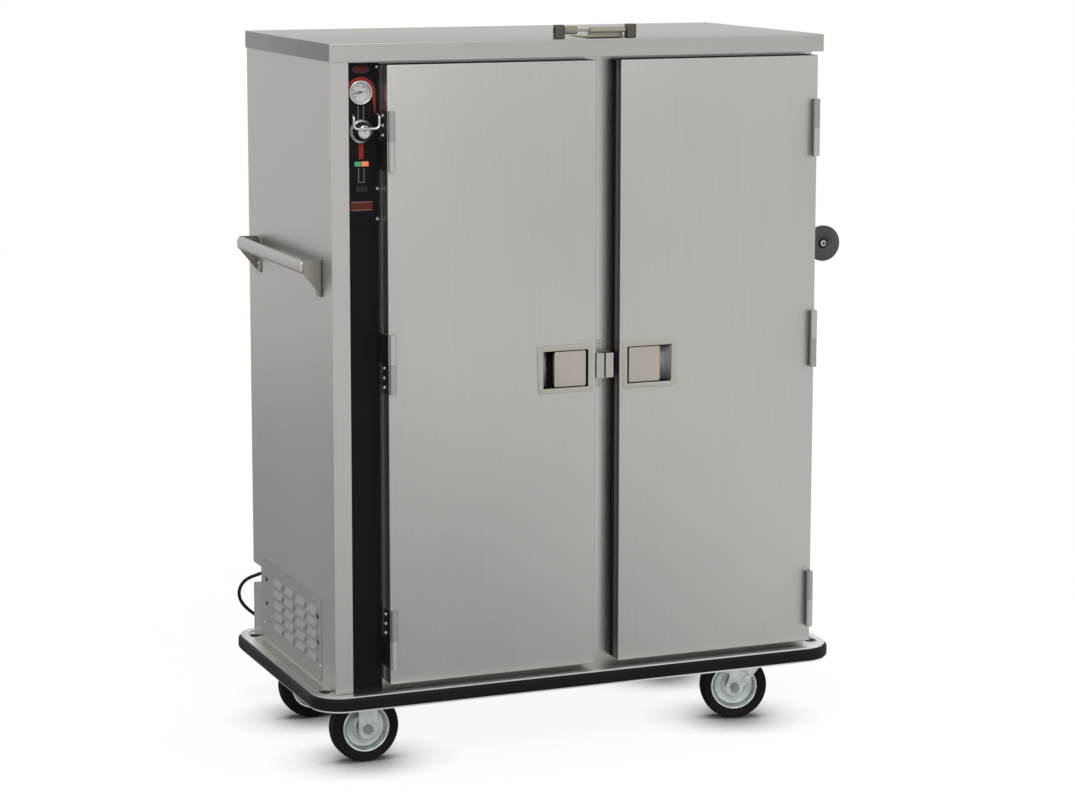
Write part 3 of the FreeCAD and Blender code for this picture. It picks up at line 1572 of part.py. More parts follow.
def write_controls():
    write("control_panel", [control_panel()])
    write("column_cover", [column_cover()])
    write("thermometer_case", [thermometer_case()])
    write("thermometer_needle", [thermometer_needle()])
    write("thermostat_knob", [thermostat_knob()])
    write("knob_guard", [knob_guard()])
    write("pilot_lights", pilot_lights())
    write("switch_rocker", [switch_rocker()])


def write_heating():
    write("blower_unit", blower_unit())
    write("blower_wheel", [blower_wheel()])
    write("heating_element", [heating_element()])


def write_cord():
    write("cord_gland", [cord_gland()])
    write("power_cord", [power_cord()])
    write("cord_coil", [cord_coil()])
    write("power_plug", [power_plug()])


os.makedirs("parts", exist_ok=True)
write_base()
write_casters()
write_shell()
write_compartments()
write_doors()
write_controls()
write_heating()
write_cord()
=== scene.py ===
import json
import math

import bmesh
import bpy
from bpy.props import FloatProperty, FloatVectorProperty, IntProperty, PointerProperty
from mathutils import Matrix, Vector


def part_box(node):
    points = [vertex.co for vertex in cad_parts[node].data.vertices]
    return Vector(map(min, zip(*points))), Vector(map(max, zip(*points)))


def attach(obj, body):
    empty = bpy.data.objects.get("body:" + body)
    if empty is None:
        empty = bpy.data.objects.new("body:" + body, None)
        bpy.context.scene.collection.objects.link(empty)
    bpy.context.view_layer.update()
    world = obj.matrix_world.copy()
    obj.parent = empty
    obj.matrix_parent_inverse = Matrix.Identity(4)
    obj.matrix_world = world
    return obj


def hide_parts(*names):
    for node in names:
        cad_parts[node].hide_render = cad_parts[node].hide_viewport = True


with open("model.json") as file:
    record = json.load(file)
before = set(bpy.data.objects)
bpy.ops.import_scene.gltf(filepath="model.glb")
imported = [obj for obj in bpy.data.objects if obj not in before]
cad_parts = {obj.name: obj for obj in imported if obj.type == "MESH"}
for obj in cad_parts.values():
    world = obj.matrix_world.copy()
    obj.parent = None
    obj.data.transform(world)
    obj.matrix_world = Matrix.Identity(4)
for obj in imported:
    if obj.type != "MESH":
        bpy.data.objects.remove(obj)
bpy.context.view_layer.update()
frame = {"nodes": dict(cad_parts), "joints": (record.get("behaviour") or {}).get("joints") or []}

bl_info = {
    "name": "Heated holding cabinet",
    "version": (1, 0, 0),
    "blender": (4, 5, 0),
    "location": "View3D > Sidebar > Cabinet",
    "description": "Finishes, controls, wheels and cord of a heated holding cabinet on casters",
    "category": "Object",
}

MM = 0.001
TOUCH = 1e-5
MERGE = 1e-6
FULL_TURN = 2 * math.pi
CORNERS = ("front_left", "front_right", "rear_left", "rear_right")
SIDES = (("left", -1), ("right", 1))
RIGHTWARD = Vector((1, 0, 0))
FORWARD = Vector((0, -1, 0))
BACKWARD = Vector((0, 1, 0))
UPWARD = Vector((0, 0, 1))


def mm(*values):
    """A point or size given in millimetres, as metres."""
    return Vector([v * MM for v in values])


def low(node):
    return Vector(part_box(node)[0])


def high(node):
    return Vector(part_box(node)[1])


def box(node):
    return low(node), high(node)


def middle(node):
    return (low(node) + high(node)) / 2


def joint(name):
    for entry in frame["joints"]:
        if entry["name"] == name:
            return entry
    raise RuntimeError("no joint named " + name)


def joint_place(name):
    return Vector(joint(name)["pos_m"])


def joint_axis(name):
    return Vector(joint(name)["axis"]).normalized()


class CabinetFinish(bpy.types.PropertyGroup):
    """Colours and gloss of the cabinet's materials."""

    steel: FloatVectorProperty(
        name="Stainless steel", description="Colour of the satin sheet steel",
        subtype="COLOR", default=(0.505, 0.492, 0.467), min=0, max=1)
    steel_gloss: FloatProperty(
        name="Steel roughness", description="Mean roughness of the satin sheet steel",
        default=0.40, min=0.05, max=1, subtype="FACTOR")
    warm_steel: FloatVectorProperty(
        name="Warm steel", description="Colour of the transport latch plate",
        subtype="COLOR", default=(0.37, 0.338, 0.275), min=0, max=1)
    zinc: FloatVectorProperty(
        name="Zinc plate", description="Colour of the plated caster steel",
        subtype="COLOR", default=(0.68, 0.735, 0.735), min=0, max=1)
    black: FloatVectorProperty(
        name="Black paint", description="Colour of the control column",
        subtype="COLOR", default=(0.006, 0.006, 0.0065), min=0, max=1)
    rubber: FloatVectorProperty(
        name="Rubber", description="Colour of the bumper strip and tyres",
        subtype="COLOR", default=(0.007, 0.0066, 0.0062), min=0, max=1)
    red: FloatVectorProperty(
        name="Panel red", description="Colour of the printed marks on the control panel",
        subtype="COLOR", default=(0.33, 0.030, 0.022), min=0, max=1)


class CabinetSizes(bpy.types.PropertyGroup):
    """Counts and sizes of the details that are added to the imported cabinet."""

    tread_blocks: IntProperty(
        name="Tread blocks", description="Blocks round each shoulder of a tyre", default=44, min=12, max=90)
    fold_radius: FloatProperty(
        name="Fold radius", description="Outer radius of the folded sheet edges",
        default=0.0022, min=0.0002, max=0.01, unit="LENGTH")
    dial_marks: IntProperty(
        name="Dial marks", description="Short marks round the thermometer's scale", default=41, min=5, max=90)


class CabinetStage(bpy.types.PropertyGroup):
    """Camera and light of the studio."""

    camera_place: FloatVectorProperty(
        name="Camera place", description="Where the camera stands", subtype="TRANSLATION", unit="LENGTH",
        default=(-2.4687, -6.0268, 1.8853))
    camera_turn: FloatProperty(
        name="Camera turn", description="Turn of the view from straight ahead", subtype="ANGLE",
        default=math.radians(22.303))
    camera_tilt: FloatProperty(
        name="Camera tilt", description="Downward tilt of the view", subtype="ANGLE",
        default=math.radians(8.538))
    camera_roll: FloatProperty(
        name="Camera roll", description="Roll about the line of sight", subtype="ANGLE",
        default=math.radians(0.083))
    lens: FloatProperty(
        name="Lens", description="Focal length in millimetres", default=97.653, min=10, max=300)
    camera_shift: FloatProperty(
        name="Camera shift", description="Lens shift as a share of the picture's width",
        default=-0.07, min=-0.5, max=0.5)
    key_power: FloatProperty(
        name="Key power", description="Strength of the front light", default=134.0, min=0, unit="POWER")
    fill_power: FloatProperty(
        name="Fill power", description="Strength of the side light", default=28.0, min=0, unit="POWER")


# Shader nodes

def feed(tree, node, inputs):
    """Gives a node's sockets their constants, and links those that another socket feeds."""
    for name, value in inputs.items():
        if isinstance(value, bpy.types.NodeSocket):
            tree.links.new(value, node.inputs[name])
        else:
            node.inputs[name].default_value = value


def add_node(tree, kind, inputs=None, **settings):
    node = tree.nodes.new("ShaderNode" + kind)
    for name, value in settings.items():
        setattr(node, name, value)
    feed(tree, node, inputs or {})
    return node


def combined(tree, first, second, operation):
    return add_node(tree, "Math", {0: first, 1: second}, operation=operation).outputs[0]


def product(tree, first, second):
    return combined(tree, first, second, "MULTIPLY")


def larger(tree, first, second):
    return combined(tree, first, second, "MAXIMUM")


def mixed(tree, share, first, second):
    """One shader where the share is 0, and the other where it is 1."""
    return add_node(tree, "MixShader", {0: share, 1: first, 2: second}).outputs[0]


def spread(tree, value, first, last, start=0.3, end=0.7, curve="LINEAR"):
    """Values from first to last, as the value goes from start to end."""
    inputs = {"Value": value, "From Min": start, "From Max": end, "To Min": first, "To Max": last}
    return add_node(tree, "MapRange", inputs, interpolation_type=curve).outputs["Result"]


def ease(tree, value, start, end, first, last):
    return spread(tree, value, first, last, start, end, "SMOOTHSTEP")


def noise(tree, source, scale, detail=3.0):
    """Noise in cycles for each metre, as one number or as one for each axis."""
    sizes = scale if isinstance(scale, list) else [scale] * 3
    mapping = add_node(tree, "Mapping", {"Vector": source, "Scale": sizes})
    inputs = {"Vector": mapping.outputs["Vector"], "Scale": 1.0, "Detail": detail}
    return add_node(tree, "TexNoise", inputs).outputs["Fac"]


def two_tone(tree, value, first, second, start=0.35, end=0.65):
    ramp = add_node(tree, "ValToRGB", {"Fac": value})
    for stop, position, colour in zip(ramp.color_ramp.elements, (start, end), (first, second)):
        stop.position = position
        stop.color = (*colour, 1)
    return ramp.outputs["Color"]


def bump(tree, value, strength, distance):
    inputs = {"Height": value, "Strength": strength, "Distance": distance}
    return add_node(tree, "Bump", inputs).outputs["Normal"]


# Materials

MATERIALS = {}


def bare_material(name):
    material = bpy.data.materials.new(name)
    material.use_nodes = True
    material.node_tree.nodes.clear()
    return material


def new_material(name):
    """A material with its tree, its shader and the object coordinates."""
    material = bare_material(name)
    tree = material.node_tree
    shader = add_node(tree, "BsdfPrincipled")
    add_node(tree, "OutputMaterial", {"Surface": shader.outputs["BSDF"]})
    return material, tree, shader, add_node(tree, "TexCoord").outputs["Object"]


def shaded(colour, amount, tint=(1.0, 1.0, 1.0)):
    return tuple(min(1.0, c * amount * t) for c, t in zip(colour, tint))


def brushed_metal(name, colour, roughness, grain):
    """Satin metal with fine streaks along the axis that grain names."""
    material, tree, shader, coords = new_material(name)
    across, along = 700.0, 7.0
    streaks = noise(tree, coords, [along if axis == grain else across for axis in "xyz"], 4.0)
    clouds = noise(tree, coords, 2.2, 2.0)
    tone = product(tree, combined(tree, streaks, clouds, "ADD"), 0.5)
    feed(tree, shader, {
        "Base Color": two_tone(tree, tone, shaded(colour, 0.955), shaded(colour, 1.04)),
        "Roughness": spread(tree, tone, roughness - 0.04, roughness + 0.05),
        "Metallic": 1.0,
        "Normal": bump(tree, streaks, 0.06, 0.0002)})
    return material


def plated_metal(name, colour, roughness):
    """Zinc plate with a faint spangle."""
    material, tree, shader, coords = new_material(name)
    cells = add_node(tree, "TexVoronoi", {"Vector": coords, "Scale": 160.0}).outputs["Distance"]
    patches = noise(tree, coords, 38.0)
    feed(tree, shader, {
        "Base Color": two_tone(tree, patches, shaded(colour, 0.82), shaded(colour, 1.12)),
        "Roughness": spread(tree, cells, roughness - 0.06, roughness + 0.08, 0.0, 0.6),
        "Metallic": 1.0,
        "Normal": bump(tree, patches, 0.05, 0.0004)})
    return material


def soft_black(name, colour, roughness, gloss=0.25, grain=880.0):
    """Rubber or moulded plastic with a fine matt grain."""
    material, tree, shader, coords = new_material(name)
    fine = noise(tree, coords, grain)
    wide = noise(tree, coords, 9.0)
    feed(tree, shader, {
        "Base Color": two_tone(tree, wide, shaded(colour, 0.8), shaded(colour, 1.35)),
        "Roughness": spread(tree, wide, roughness - 0.06, roughness + 0.08),
        "Specular IOR Level": gloss,
        "Normal": bump(tree, fine, 0.15, 0.0004)})
    return material


def painted(name, colour, roughness, gloss=0.5, coat=0.0):
    """Smooth paint, enamel or print with a faint unevenness."""
    material, tree, shader, coords = new_material(name)
    peel = noise(tree, coords, 260.0, 2.0)
    wide = noise(tree, coords, 14.0, 2.0)
    feed(tree, shader, {
        "Base Color": two_tone(tree, wide, shaded(colour, 0.92), shaded(colour, 1.06)),
        "Roughness": spread(tree, peel, roughness - 0.04, roughness + 0.05),
        "Specular IOR Level": gloss,
        "Coat Weight": coat,
        "Normal": bump(tree, peel, 0.04, 0.0003)})
    return material


def lens_plastic(name, colour, glow):
    """Glossy lens that shines a little."""
    material = painted(name, colour, 0.18, coat=0.6)
    tree = material.node_tree
    shader = tree.nodes["Principled BSDF"]
    feed(tree, shader, {"Emission Color": (*colour, 1), "Emission Strength": glow})
    return material


def clear_glass(name):
    material, tree, shader, coords = new_material(name)
    smears = noise(tree, coords, 70.0, 2.0)
    feed(tree, shader, {
        "Base Color": (1, 1, 1, 1),
        "Roughness": spread(tree, smears, 0.01, 0.05),
        "Transmission Weight": 1.0,
        "IOR": 1.3})
    return material


def fibre_wool(name, colour):
    material, tree, shader, coords = new_material(name)
    fibres = noise(tree, coords, [90.0, 400.0, 90.0], 5.0)
    feed(tree, shader, {
        "Base Color": two_tone(tree, fibres, shaded(colour, 0.7), shaded(colour, 1.1)),
        "Roughness": spread(tree, fibres, 0.85, 1.0),
        "Normal": bump(tree, fibres, 0.6, 0.003)})
    return material


# Mesh helpers

def link(name, data):
    thing = bpy.data.objects.new(name, data)
    bpy.context.scene.collection.objects.link(thing)
    return thing


def mesh_from(name, bm):
    mesh = bpy.data.meshes.new(name)
    bm.to_mesh(mesh)
    bm.free()
    return mesh


def add_piece(name, bm, materials, body, replaces=(), smooth_angle=35.0):
    """Turns a bmesh into a piece that rides on a body."""
    mesh = mesh_from(name, bm)
    piece = link(name, mesh)
    for material in materials:
        mesh.materials.append(MATERIALS[material])
    mesh.shade_smooth()
    mesh.set_sharp_from_angle(angle=math.radians(smooth_angle))
    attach(piece, body)
    if replaces:
        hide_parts(*replaces)
    return piece


def add_wall(piece, name, thickness, offset):
    """Gives an open sheet its thickness."""
    wall = piece.modifiers.new(name, "SOLIDIFY")
    wall.thickness = thickness
    wall.offset = offset


def verts_of(geometry):
    return [part for part in geometry if isinstance(part, bmesh.types.BMVert)]


def faces_of(geometry):
    return [part for part in geometry if isinstance(part, bmesh.types.BMFace)]


def round_edges(bm, edges, offset, segments):
    done = bmesh.ops.bevel(bm, geom=list(edges), offset=offset, offset_type="OFFSET", segments=segments,
                           profile=0.5, affect="EDGES", material=-1, clamp_overlap=True)
    return done["faces"]


def extrude(bm, faces, offset):
    """Extrudes faces by an offset, and gives what is new."""
    made = bmesh.ops.extrude_face_region(bm, geom=faces)["geom"]
    bmesh.ops.translate(bm, vec=offset, verts=verts_of(made))
    return made


def sharp_block(bm, lowest, highest):
    """Corners of a new box between two points."""
    verts = bmesh.ops.create_cube(bm, size=1.0)["verts"]
    lowest, highest = Vector(lowest), Vector(highest)
    bmesh.ops.scale(bm, vec=highest - lowest, verts=verts)
    bmesh.ops.translate(bm, vec=(lowest + highest) / 2, verts=verts)
    return verts


def block(bm, lowest, highest, radius=0.0, segments=2, material=0):
    """A box between two points, with its edges rounded where a radius is given."""
    verts = sharp_block(bm, lowest, highest)
    faces = {f for v in verts for f in v.link_faces}
    for face in faces:
        face.material_index = material
    if radius > 0:
        edges = {e for v in verts for e in v.link_edges}
        for face in round_edges(bm, edges, radius, segments):
            face.material_index = material
    return verts


def rounded_plate(bm, lowest, highest, corner, front_round):
    """A plate in the plane of the doors with round corners and a rounded front edge."""
    verts = sharp_block(bm, lowest, highest)
    edges = {e for v in verts for e in v.link_edges}
    across = [e for e in edges if abs((e.verts[0].co - e.verts[1].co).normalized().y) > 0.9]
    round_edges(bm, across, corner, 5)
    front = [e for e in bm.edges if all(abs(v.co.y - lowest[1]) < TOUCH for v in e.verts)]
    round_edges(bm, front, front_round, 2)


def turned(bm, profile, centre, axis, steps=48, material=0):
    """A body of revolution. The profile is pairs of radius and distance along the axis."""
    side = axis.orthogonal().normalized()
    before = set(bm.faces)
    verts = [bm.verts.new(centre + side * r + axis * a) for r, a in profile]
    edges = [bm.edges.new(pair) for pair in zip(verts, verts[1:])]
    bmesh.ops.spin(bm, geom=verts + edges, cent=centre, axis=axis, dvec=(0, 0, 0),
                   angle=FULL_TURN, steps=steps, use_merge=True)
    bmesh.ops.remove_doubles(bm, verts=bm.verts[:], dist=MERGE)
    made = [f for f in bm.faces if f not in before]
    bmesh.ops.recalc_face_normals(bm, faces=made)
    for face in made:
        face.material_index = material
    return made


def rod(bm, radius, start, end, centre, axis, steps, material=0):
    """A plain round bar between two distances along the axis."""
    turned(bm, [(0.0, start), (radius, start), (radius, end), (0.0, end)], centre, axis, steps, material)


def screw_head(bm, centre, outward, radius, height):
    """A domed head with a hollow for the driver."""
    profile = [(radius, 0.0), (radius, height * 0.35), (radius * 0.85, height * 0.8), (radius * 0.5, height),
               (radius * 0.45, height * 0.6), (0.0, height * 0.6)]
    turned(bm, profile, centre, outward, 16)


def fold_edges(bm, box_low, box_high, open_side):
    """Edges of a sheet box that lie on two of its outer planes and not on its open side."""
    found = []
    for edge in bm.edges:
        planes = []
        for k in range(3):
            for value, tag in ((box_low[k], -1), (box_high[k], 1)):
                if all(abs(v.co[k] - value) < TOUCH for v in edge.verts):
                    planes.append((k, tag))
        if len(planes) >= 2 and open_side not in planes:
            found.append(edge)
    return found


def merged_copy(node):
    """The node's own shape as one mesh of flat faces."""
    bm = bmesh.new()
    bm.from_mesh(frame["nodes"][node].data)
    bmesh.ops.remove_doubles(bm, verts=bm.verts[:], dist=MERGE)
    bmesh.ops.dissolve_limit(bm, angle_limit=math.radians(0.5), use_dissolve_boundaries=False,
                             verts=bm.verts[:], edges=bm.edges[:])
    for face in bm.faces:
        face.material_index = 0
    return bm


def eased_copy(node, radius, open_side):
    """The node's own sheet with its outer folds rounded."""
    bm = merged_copy(node)
    round_edges(bm, fold_edges(bm, *box(node), open_side), radius, 4)
    return bm


# Cord, in millimetres

CORD_POINTS = [
    (-556.0, 264.0, 320.0), (-556.0, 288.0, 320.0), (-560.5, 306.0, 315.5), (-568.0, 323.0, 307.5),
    (-578.0, 341.0, 299.0), (-584.5, 361.0, 287.5), (-588.5, 379.0, 272.0), (-589.0, 394.0, 255.0),
    (-585.0, 404.0, 237.5), (-577.0, 411.0, 222.5), (-565.5, 416.0, 208.5), (-552.0, 419.0, 196.5),
    (-537.0, 421.0, 184.0), (-522.0, 421.5, 169.0), (-508.0, 420.0, 151.0), (-495.0, 416.0, 128.0),
    (-483.0, 409.0, 102.0), (-470.0, 399.0, 75.0), (-454.0, 385.0, 48.0), (-432.0, 369.0, 26.0),
    (-401.0, 353.0, 11.0), (-363.0, 342.0, 5.2), (-331.0, 338.0, 4.2), (-305.0, 338.0, 4.2)]
COIL_CENTRE = (-297.0, 393.0)
COIL_FLOOR = 4.2
COIL_PITCH = 8.8
COIL_FIRST_RADIUS = 55.0
COIL_HALF_TURNS = 6
TURN_POINTS = 8
CONTROL_REACH = 1.0 / 0.981
LEAD_START = 12.0
LEAD_IN_PLUG = 1.0
CORD_DIAMETER = 8.0


def coil_points():
    """Control points of the put-away turns: inwards on the floor, up one layer and outwards."""
    points = []
    radius = COIL_FIRST_RADIUS
    x, y = COIL_CENTRE
    start = -90.0
    step = COIL_PITCH / 2
    for turn in range(2 * COIL_HALF_TURNS + 2):
        climbing = turn == COIL_HALF_TURNS
        rising = turn > COIL_HALF_TURNS
        shift = step if math.cos(math.radians(start + 90)) > 0 else -step
        if rising:
            radius += step
            y += shift
        for i in range(TURN_POINTS):
            share = (i + 0.5) / TURN_POINTS
            angle = math.radians(start + 180.0 * share)
            reach = radius * CONTROL_REACH
            z = COIL_FLOOR + COIL_PITCH * (share if climbing else float(rising))
            points.append((x + reach * math.cos(angle), y + reach * math.sin(angle), z))
        if not climbing and not rising:
            radius -= step
            y += shift
        start += 180.0
    return points


class CABINET_OT_cord(bpy.types.Operator):
    """Lay the power cord from its gland down to the coil behind the cabinet, with its tie and plug"""
    bl_idname = "cabinet.cord"
    bl_label = "Power cord"

    tape = 0.0005
    tie_half_width = 0.004
    tie_round = 0.004
    tie_inner = 22.0

    def execute(self, context):
        end_y = middle("power_plug").y / MM
        top = COIL_FLOOR + COIL_PITCH
        lead = (COIL_CENTRE[0] + LEAD_START, low("power_plug").x / MM + LEAD_IN_PLUG)
        points = CORD_POINTS + coil_points() + [(x, end_y, top) for x in lead]
        curve = bpy.data.curves.new("power_cord_line", "CURVE")
        curve.dimensions = "3D"
        spline = curve.splines.new("NURBS")
        spline.points.add(len(points) - 1)
        for point, place in zip(spline.points, points):
            point.co = (*mm(*place), 1.0)
        spline.order_u = 3
        spline.use_endpoint_u = True
        spline.resolution_u = 6
        curve.bevel_depth = CORD_DIAMETER / 2 * MM
        curve.bevel_resolution = 5
        curve.use_fill_caps = True
        curve.materials.append(MATERIALS["cord rubber"])
        cord = link("power_cord_line", curve)
        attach(cord, "cabinet")
        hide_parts("power_cord", "cord_coil")
        tie = self.tie()
        return {"FINISHED"}

    def tie(self):
        """A thin tape round the turns, on the side away from the cabinet."""
        bm = bmesh.new()
        inner = (COIL_CENTRE[1] + self.tie_inner) * MM
        outer = high("cord_coil").y - self.tape
        bottom = low("cord_coil").z + self.tape
        top = high("cord_coil").z + self.tape
        start = COIL_CENTRE[0] * MM - self.tie_half_width
        corners = [(inner, bottom), (outer, bottom), (outer, top), (inner, top)]
        face = bm.faces.new([bm.verts.new((start, y, z)) for y, z in corners])
        extrude(bm, [face], (2 * self.tie_half_width, 0, 0))
        ends = [f for f in bm.faces if len({round(v.co.x, 5) for v in f.verts}) == 1]
        bmesh.ops.delete(bm, geom=ends, context="FACES_ONLY")
        along = [e for e in bm.edges if abs(e.verts[0].co.x - e.verts[1].co.x) > self.tie_half_width]
        round_edges(bm, along, self.tie_round, 4)
        bmesh.ops.recalc_face_normals(bm, faces=bm.faces[:])
        piece = add_piece("cord_tie", bm, ["dial black"], "cabinet")
        add_wall(piece, "tape", self.tape, 1.0)
        return piece


class CABINET_OT_finishes(bpy.types.Operator):
    """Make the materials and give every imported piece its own"""
    bl_idname = "cabinet.finishes"
    bl_label = "Materials"

    groups = {
        "frame steel": ("front_frame",),
        "steel upright": ("left_side_panel", "body_wrap", "inner_liner", "air_panels",
                          "left_door_shell", "right_door_shell", "left_door_pan", "right_door_pan",
                          "hinge_frame_leaves"),
        "strike steel": ("latch_strikes",),
        "hinge steel": ("left_hinge_leaves", "right_hinge_leaves"),
        "paddle steel": ("left_latch_paddle", "right_latch_paddle"),
        "cap steel": ("top_cap",),
        "deck steel": ("deck_plate",),
        "steel deep": ("push_handles",),
        "louvre steel": ("louvre_panel",),
        "bezel steel": ("left_latch_housing", "right_latch_housing"),
        "warm steel": ("transport_latch", "latch_brackets"),
        "aluminium": ("bumper_channel",),
        "strip rubber": ("bumper_strip",),
        "disc rubber": ("door_bumper",),
        "gasket rubber": ("door_gaskets",),
        "wool": ("wall_insulation", "left_door_core", "right_door_core"),
        "chrome": ("wire_shelves", "knob_guard", "thermometer_case"),
        "black paint": ("control_panel", "column_cover"),
        "dial black": ("thermometer_needle",),
        "knob silver": ("thermostat_knob",),
        "amber lens": ("pilot_lights",),
        "switch black": ("switch_rocker",),
        "screw steel": ("cabinet_screws",),
        "galvanised": ("blower_unit", "blower_wheel"),
        "sheath": ("heating_element",),
        "zinc": ("caster_mounts", "front_right_fork", "rear_right_fork", "front_right_brake",
                 "rear_right_brake", *[corner + "_rim" for corner in CORNERS]),
        "tyre rubber": tuple(corner + "_tyre" for corner in CORNERS),
        "cord rubber": ("cord_gland", "power_cord", "cord_coil", "power_plug"),
    }

    def execute(self, context):
        self.make_materials(context.scene.cabinet_finish)
        for material, nodes in self.groups.items():
            for node in nodes:
                slots = frame["nodes"][node].data.materials
                slots.clear()
                slots.append(MATERIALS[material])
        dressed = {n for nodes in self.groups.values() for n in nodes}
        bare = set(frame["nodes"]) - dressed
        if bare:
            raise RuntimeError("no material for " + ", ".join(sorted(bare)))
        return {"FINISHED"}

    def make_materials(self, finish):
        """Fill the table of materials from the chosen colours."""
        steel = tuple(finish.steel)
        gloss = finish.steel_gloss
        warm = tuple(finish.warm_steel)
        zinc = tuple(finish.zinc)
        rubber = tuple(finish.rubber)
        red = tuple(finish.red)
        table = {
            brushed_metal: {
                "steel upright": ("steel upright grain", steel, gloss, "z"),
                "steel deep": ("steel front to back grain", steel, gloss, "y"),
                # painted light: the frame is in a lighter copy of the sheet steel
                "frame steel": ("frame steel", shaded(steel, 1.08), 0.28, "z"),
                # painted light: the deck is in a lighter copy of the sheet steel
                "deck steel": ("deck steel", shaded(steel, 1.25), 0.28, "x"),
                # painted shade: the cap is in a slightly darker copy of the sheet steel, its ends in a much
                # darker one
                "cap steel": ("cap steel", shaded(steel, 0.92), gloss, "x"),
                "cap end": ("cap end steel", shaded(steel, 0.42), 0.36, "y"),
                # painted shade: the louvre panel is in a darker copy of the sheet steel
                "louvre steel": ("louvre steel", shaded(steel, 0.84), 0.62, "z"),
                # painted shade: the handles' bracket plates and flanges are in a darker, warmer copy of the
                # sheet steel
                "bracket steel": ("handle bracket steel", shaded(steel, 0.62, (1.0, 0.97, 0.92)), 0.34, "z"),
                # painted shade: door edges and hinge straps are in a copy of the sheet steel at a third of
                # its brightness
                "painted shade edge": ("shaded door edge", shaded(steel, 0.33), 0.42, "z"),
                "hinge edge": ("hinge side door edge", shaded(steel, 1.0), 0.42, "z"),
                "strike steel": ("strike steel", shaded(steel, 0.85), 0.26, "z"),
                "hinge steel": ("hinge steel", shaded(steel, 0.76), 0.30, "z"),
                "warm steel": ("warm latch steel", warm, 0.42, "x"),
                # the latch ears are in a copy of the warm latch steel at 0.30 of its brightness
                "darkened warm steel": ("dark latch ears", shaded(warm, 0.30), 0.45, "z"),
                "bezel steel": ("cast bezel steel", shaded(steel, 0.94, (1.0, 0.985, 0.90)), 0.48, "x"),
                "paddle steel": ("paddle steel", shaded(steel, 0.93, (1.0, 0.945, 0.87)), 0.40, "z"),
                # also the painted light strip behind the seam on the hinge side's door edges
                "aluminium": ("bumper aluminium", (0.80, 0.80, 0.79), 0.33, "x"),
                "knob silver": ("knob silver", (0.55, 0.55, 0.54), 0.26, "y"),
            },
            plated_metal: {
                "screw steel": ("screw steel", (0.62, 0.61, 0.59), 0.28),
                "stud black": ("dark studs", (0.07, 0.065, 0.065), 0.4),
                "zinc": ("zinc plate", zinc, 0.34),
                "zinc shade": ("dull zinc", shaded(zinc, 0.5), 0.42),
                "rim bright": ("polished rim lip", (0.80, 0.83, 0.83), 0.22),
                "galvanised": ("galvanised sheet", (0.45, 0.47, 0.48), 0.42),
                "chrome": ("bright chrome", (0.62, 0.62, 0.61), 0.14),
                "sheath": ("element sheath", (0.20, 0.19, 0.18), 0.5),
            },
            painted: {
                "scoop grey": ("finger scoop grey", (0.40, 0.40, 0.43), 0.34),
                "black paint": ("column black", tuple(finish.black), 0.42, 0.12),
                "red print": ("panel red", red, 0.45, 0.2),
                "dark red": ("bare badge red", shaded(red, 0.38), 0.4, 0.3),
                "grey print": ("panel grey line", (0.20, 0.20, 0.20), 0.45, 0.2),
                "dial white": ("dial white", (0.78, 0.79, 0.81), 0.45),
                "dial black": ("dial black", (0.012, 0.012, 0.012), 0.5, 0.2),
                "switch black": ("switch black", (0.011, 0.011, 0.011), 0.3, 0.3),
            },
            soft_black: {
                # painted shade: near black inside the latch wells and behind the seam on the latch side's
                # door edges; the ear bolts' ends use it too
                "painted shade black": ("latch well", (0.008, 0.007, 0.006), 0.7, 0.15),
                "strip rubber": ("bumper rubber", rubber, 0.5, 0.14),
                "tyre rubber": ("tyre rubber", shaded(rubber, 2.1), 0.75, 0.12, 640.0),
                "gasket rubber": ("gasket rubber", (0.010, 0.010, 0.010), 0.6),
                "disc rubber": ("disc rubber", (0.075, 0.074, 0.071), 0.5),
                "disc shade": ("disc hollow", (0.012, 0.012, 0.012), 0.5),
                "cord rubber": ("cord rubber", (0.007, 0.007, 0.007), 0.5, 0.2),
            },
            lens_plastic: {
                "green lens": ("green lens", (0.04, 0.30, 0.13), 0.3),
                "amber lens": ("amber lens", (0.85, 0.21, 0.08), 0.35),
            },
            clear_glass: {"glass": ("gauge glass",)},
            fibre_wool: {"wool": ("insulating wool", (0.72, 0.62, 0.35))},
        }
        for maker, rows in table.items():
            for key, values in rows.items():
                MATERIALS[key] = maker(*values)


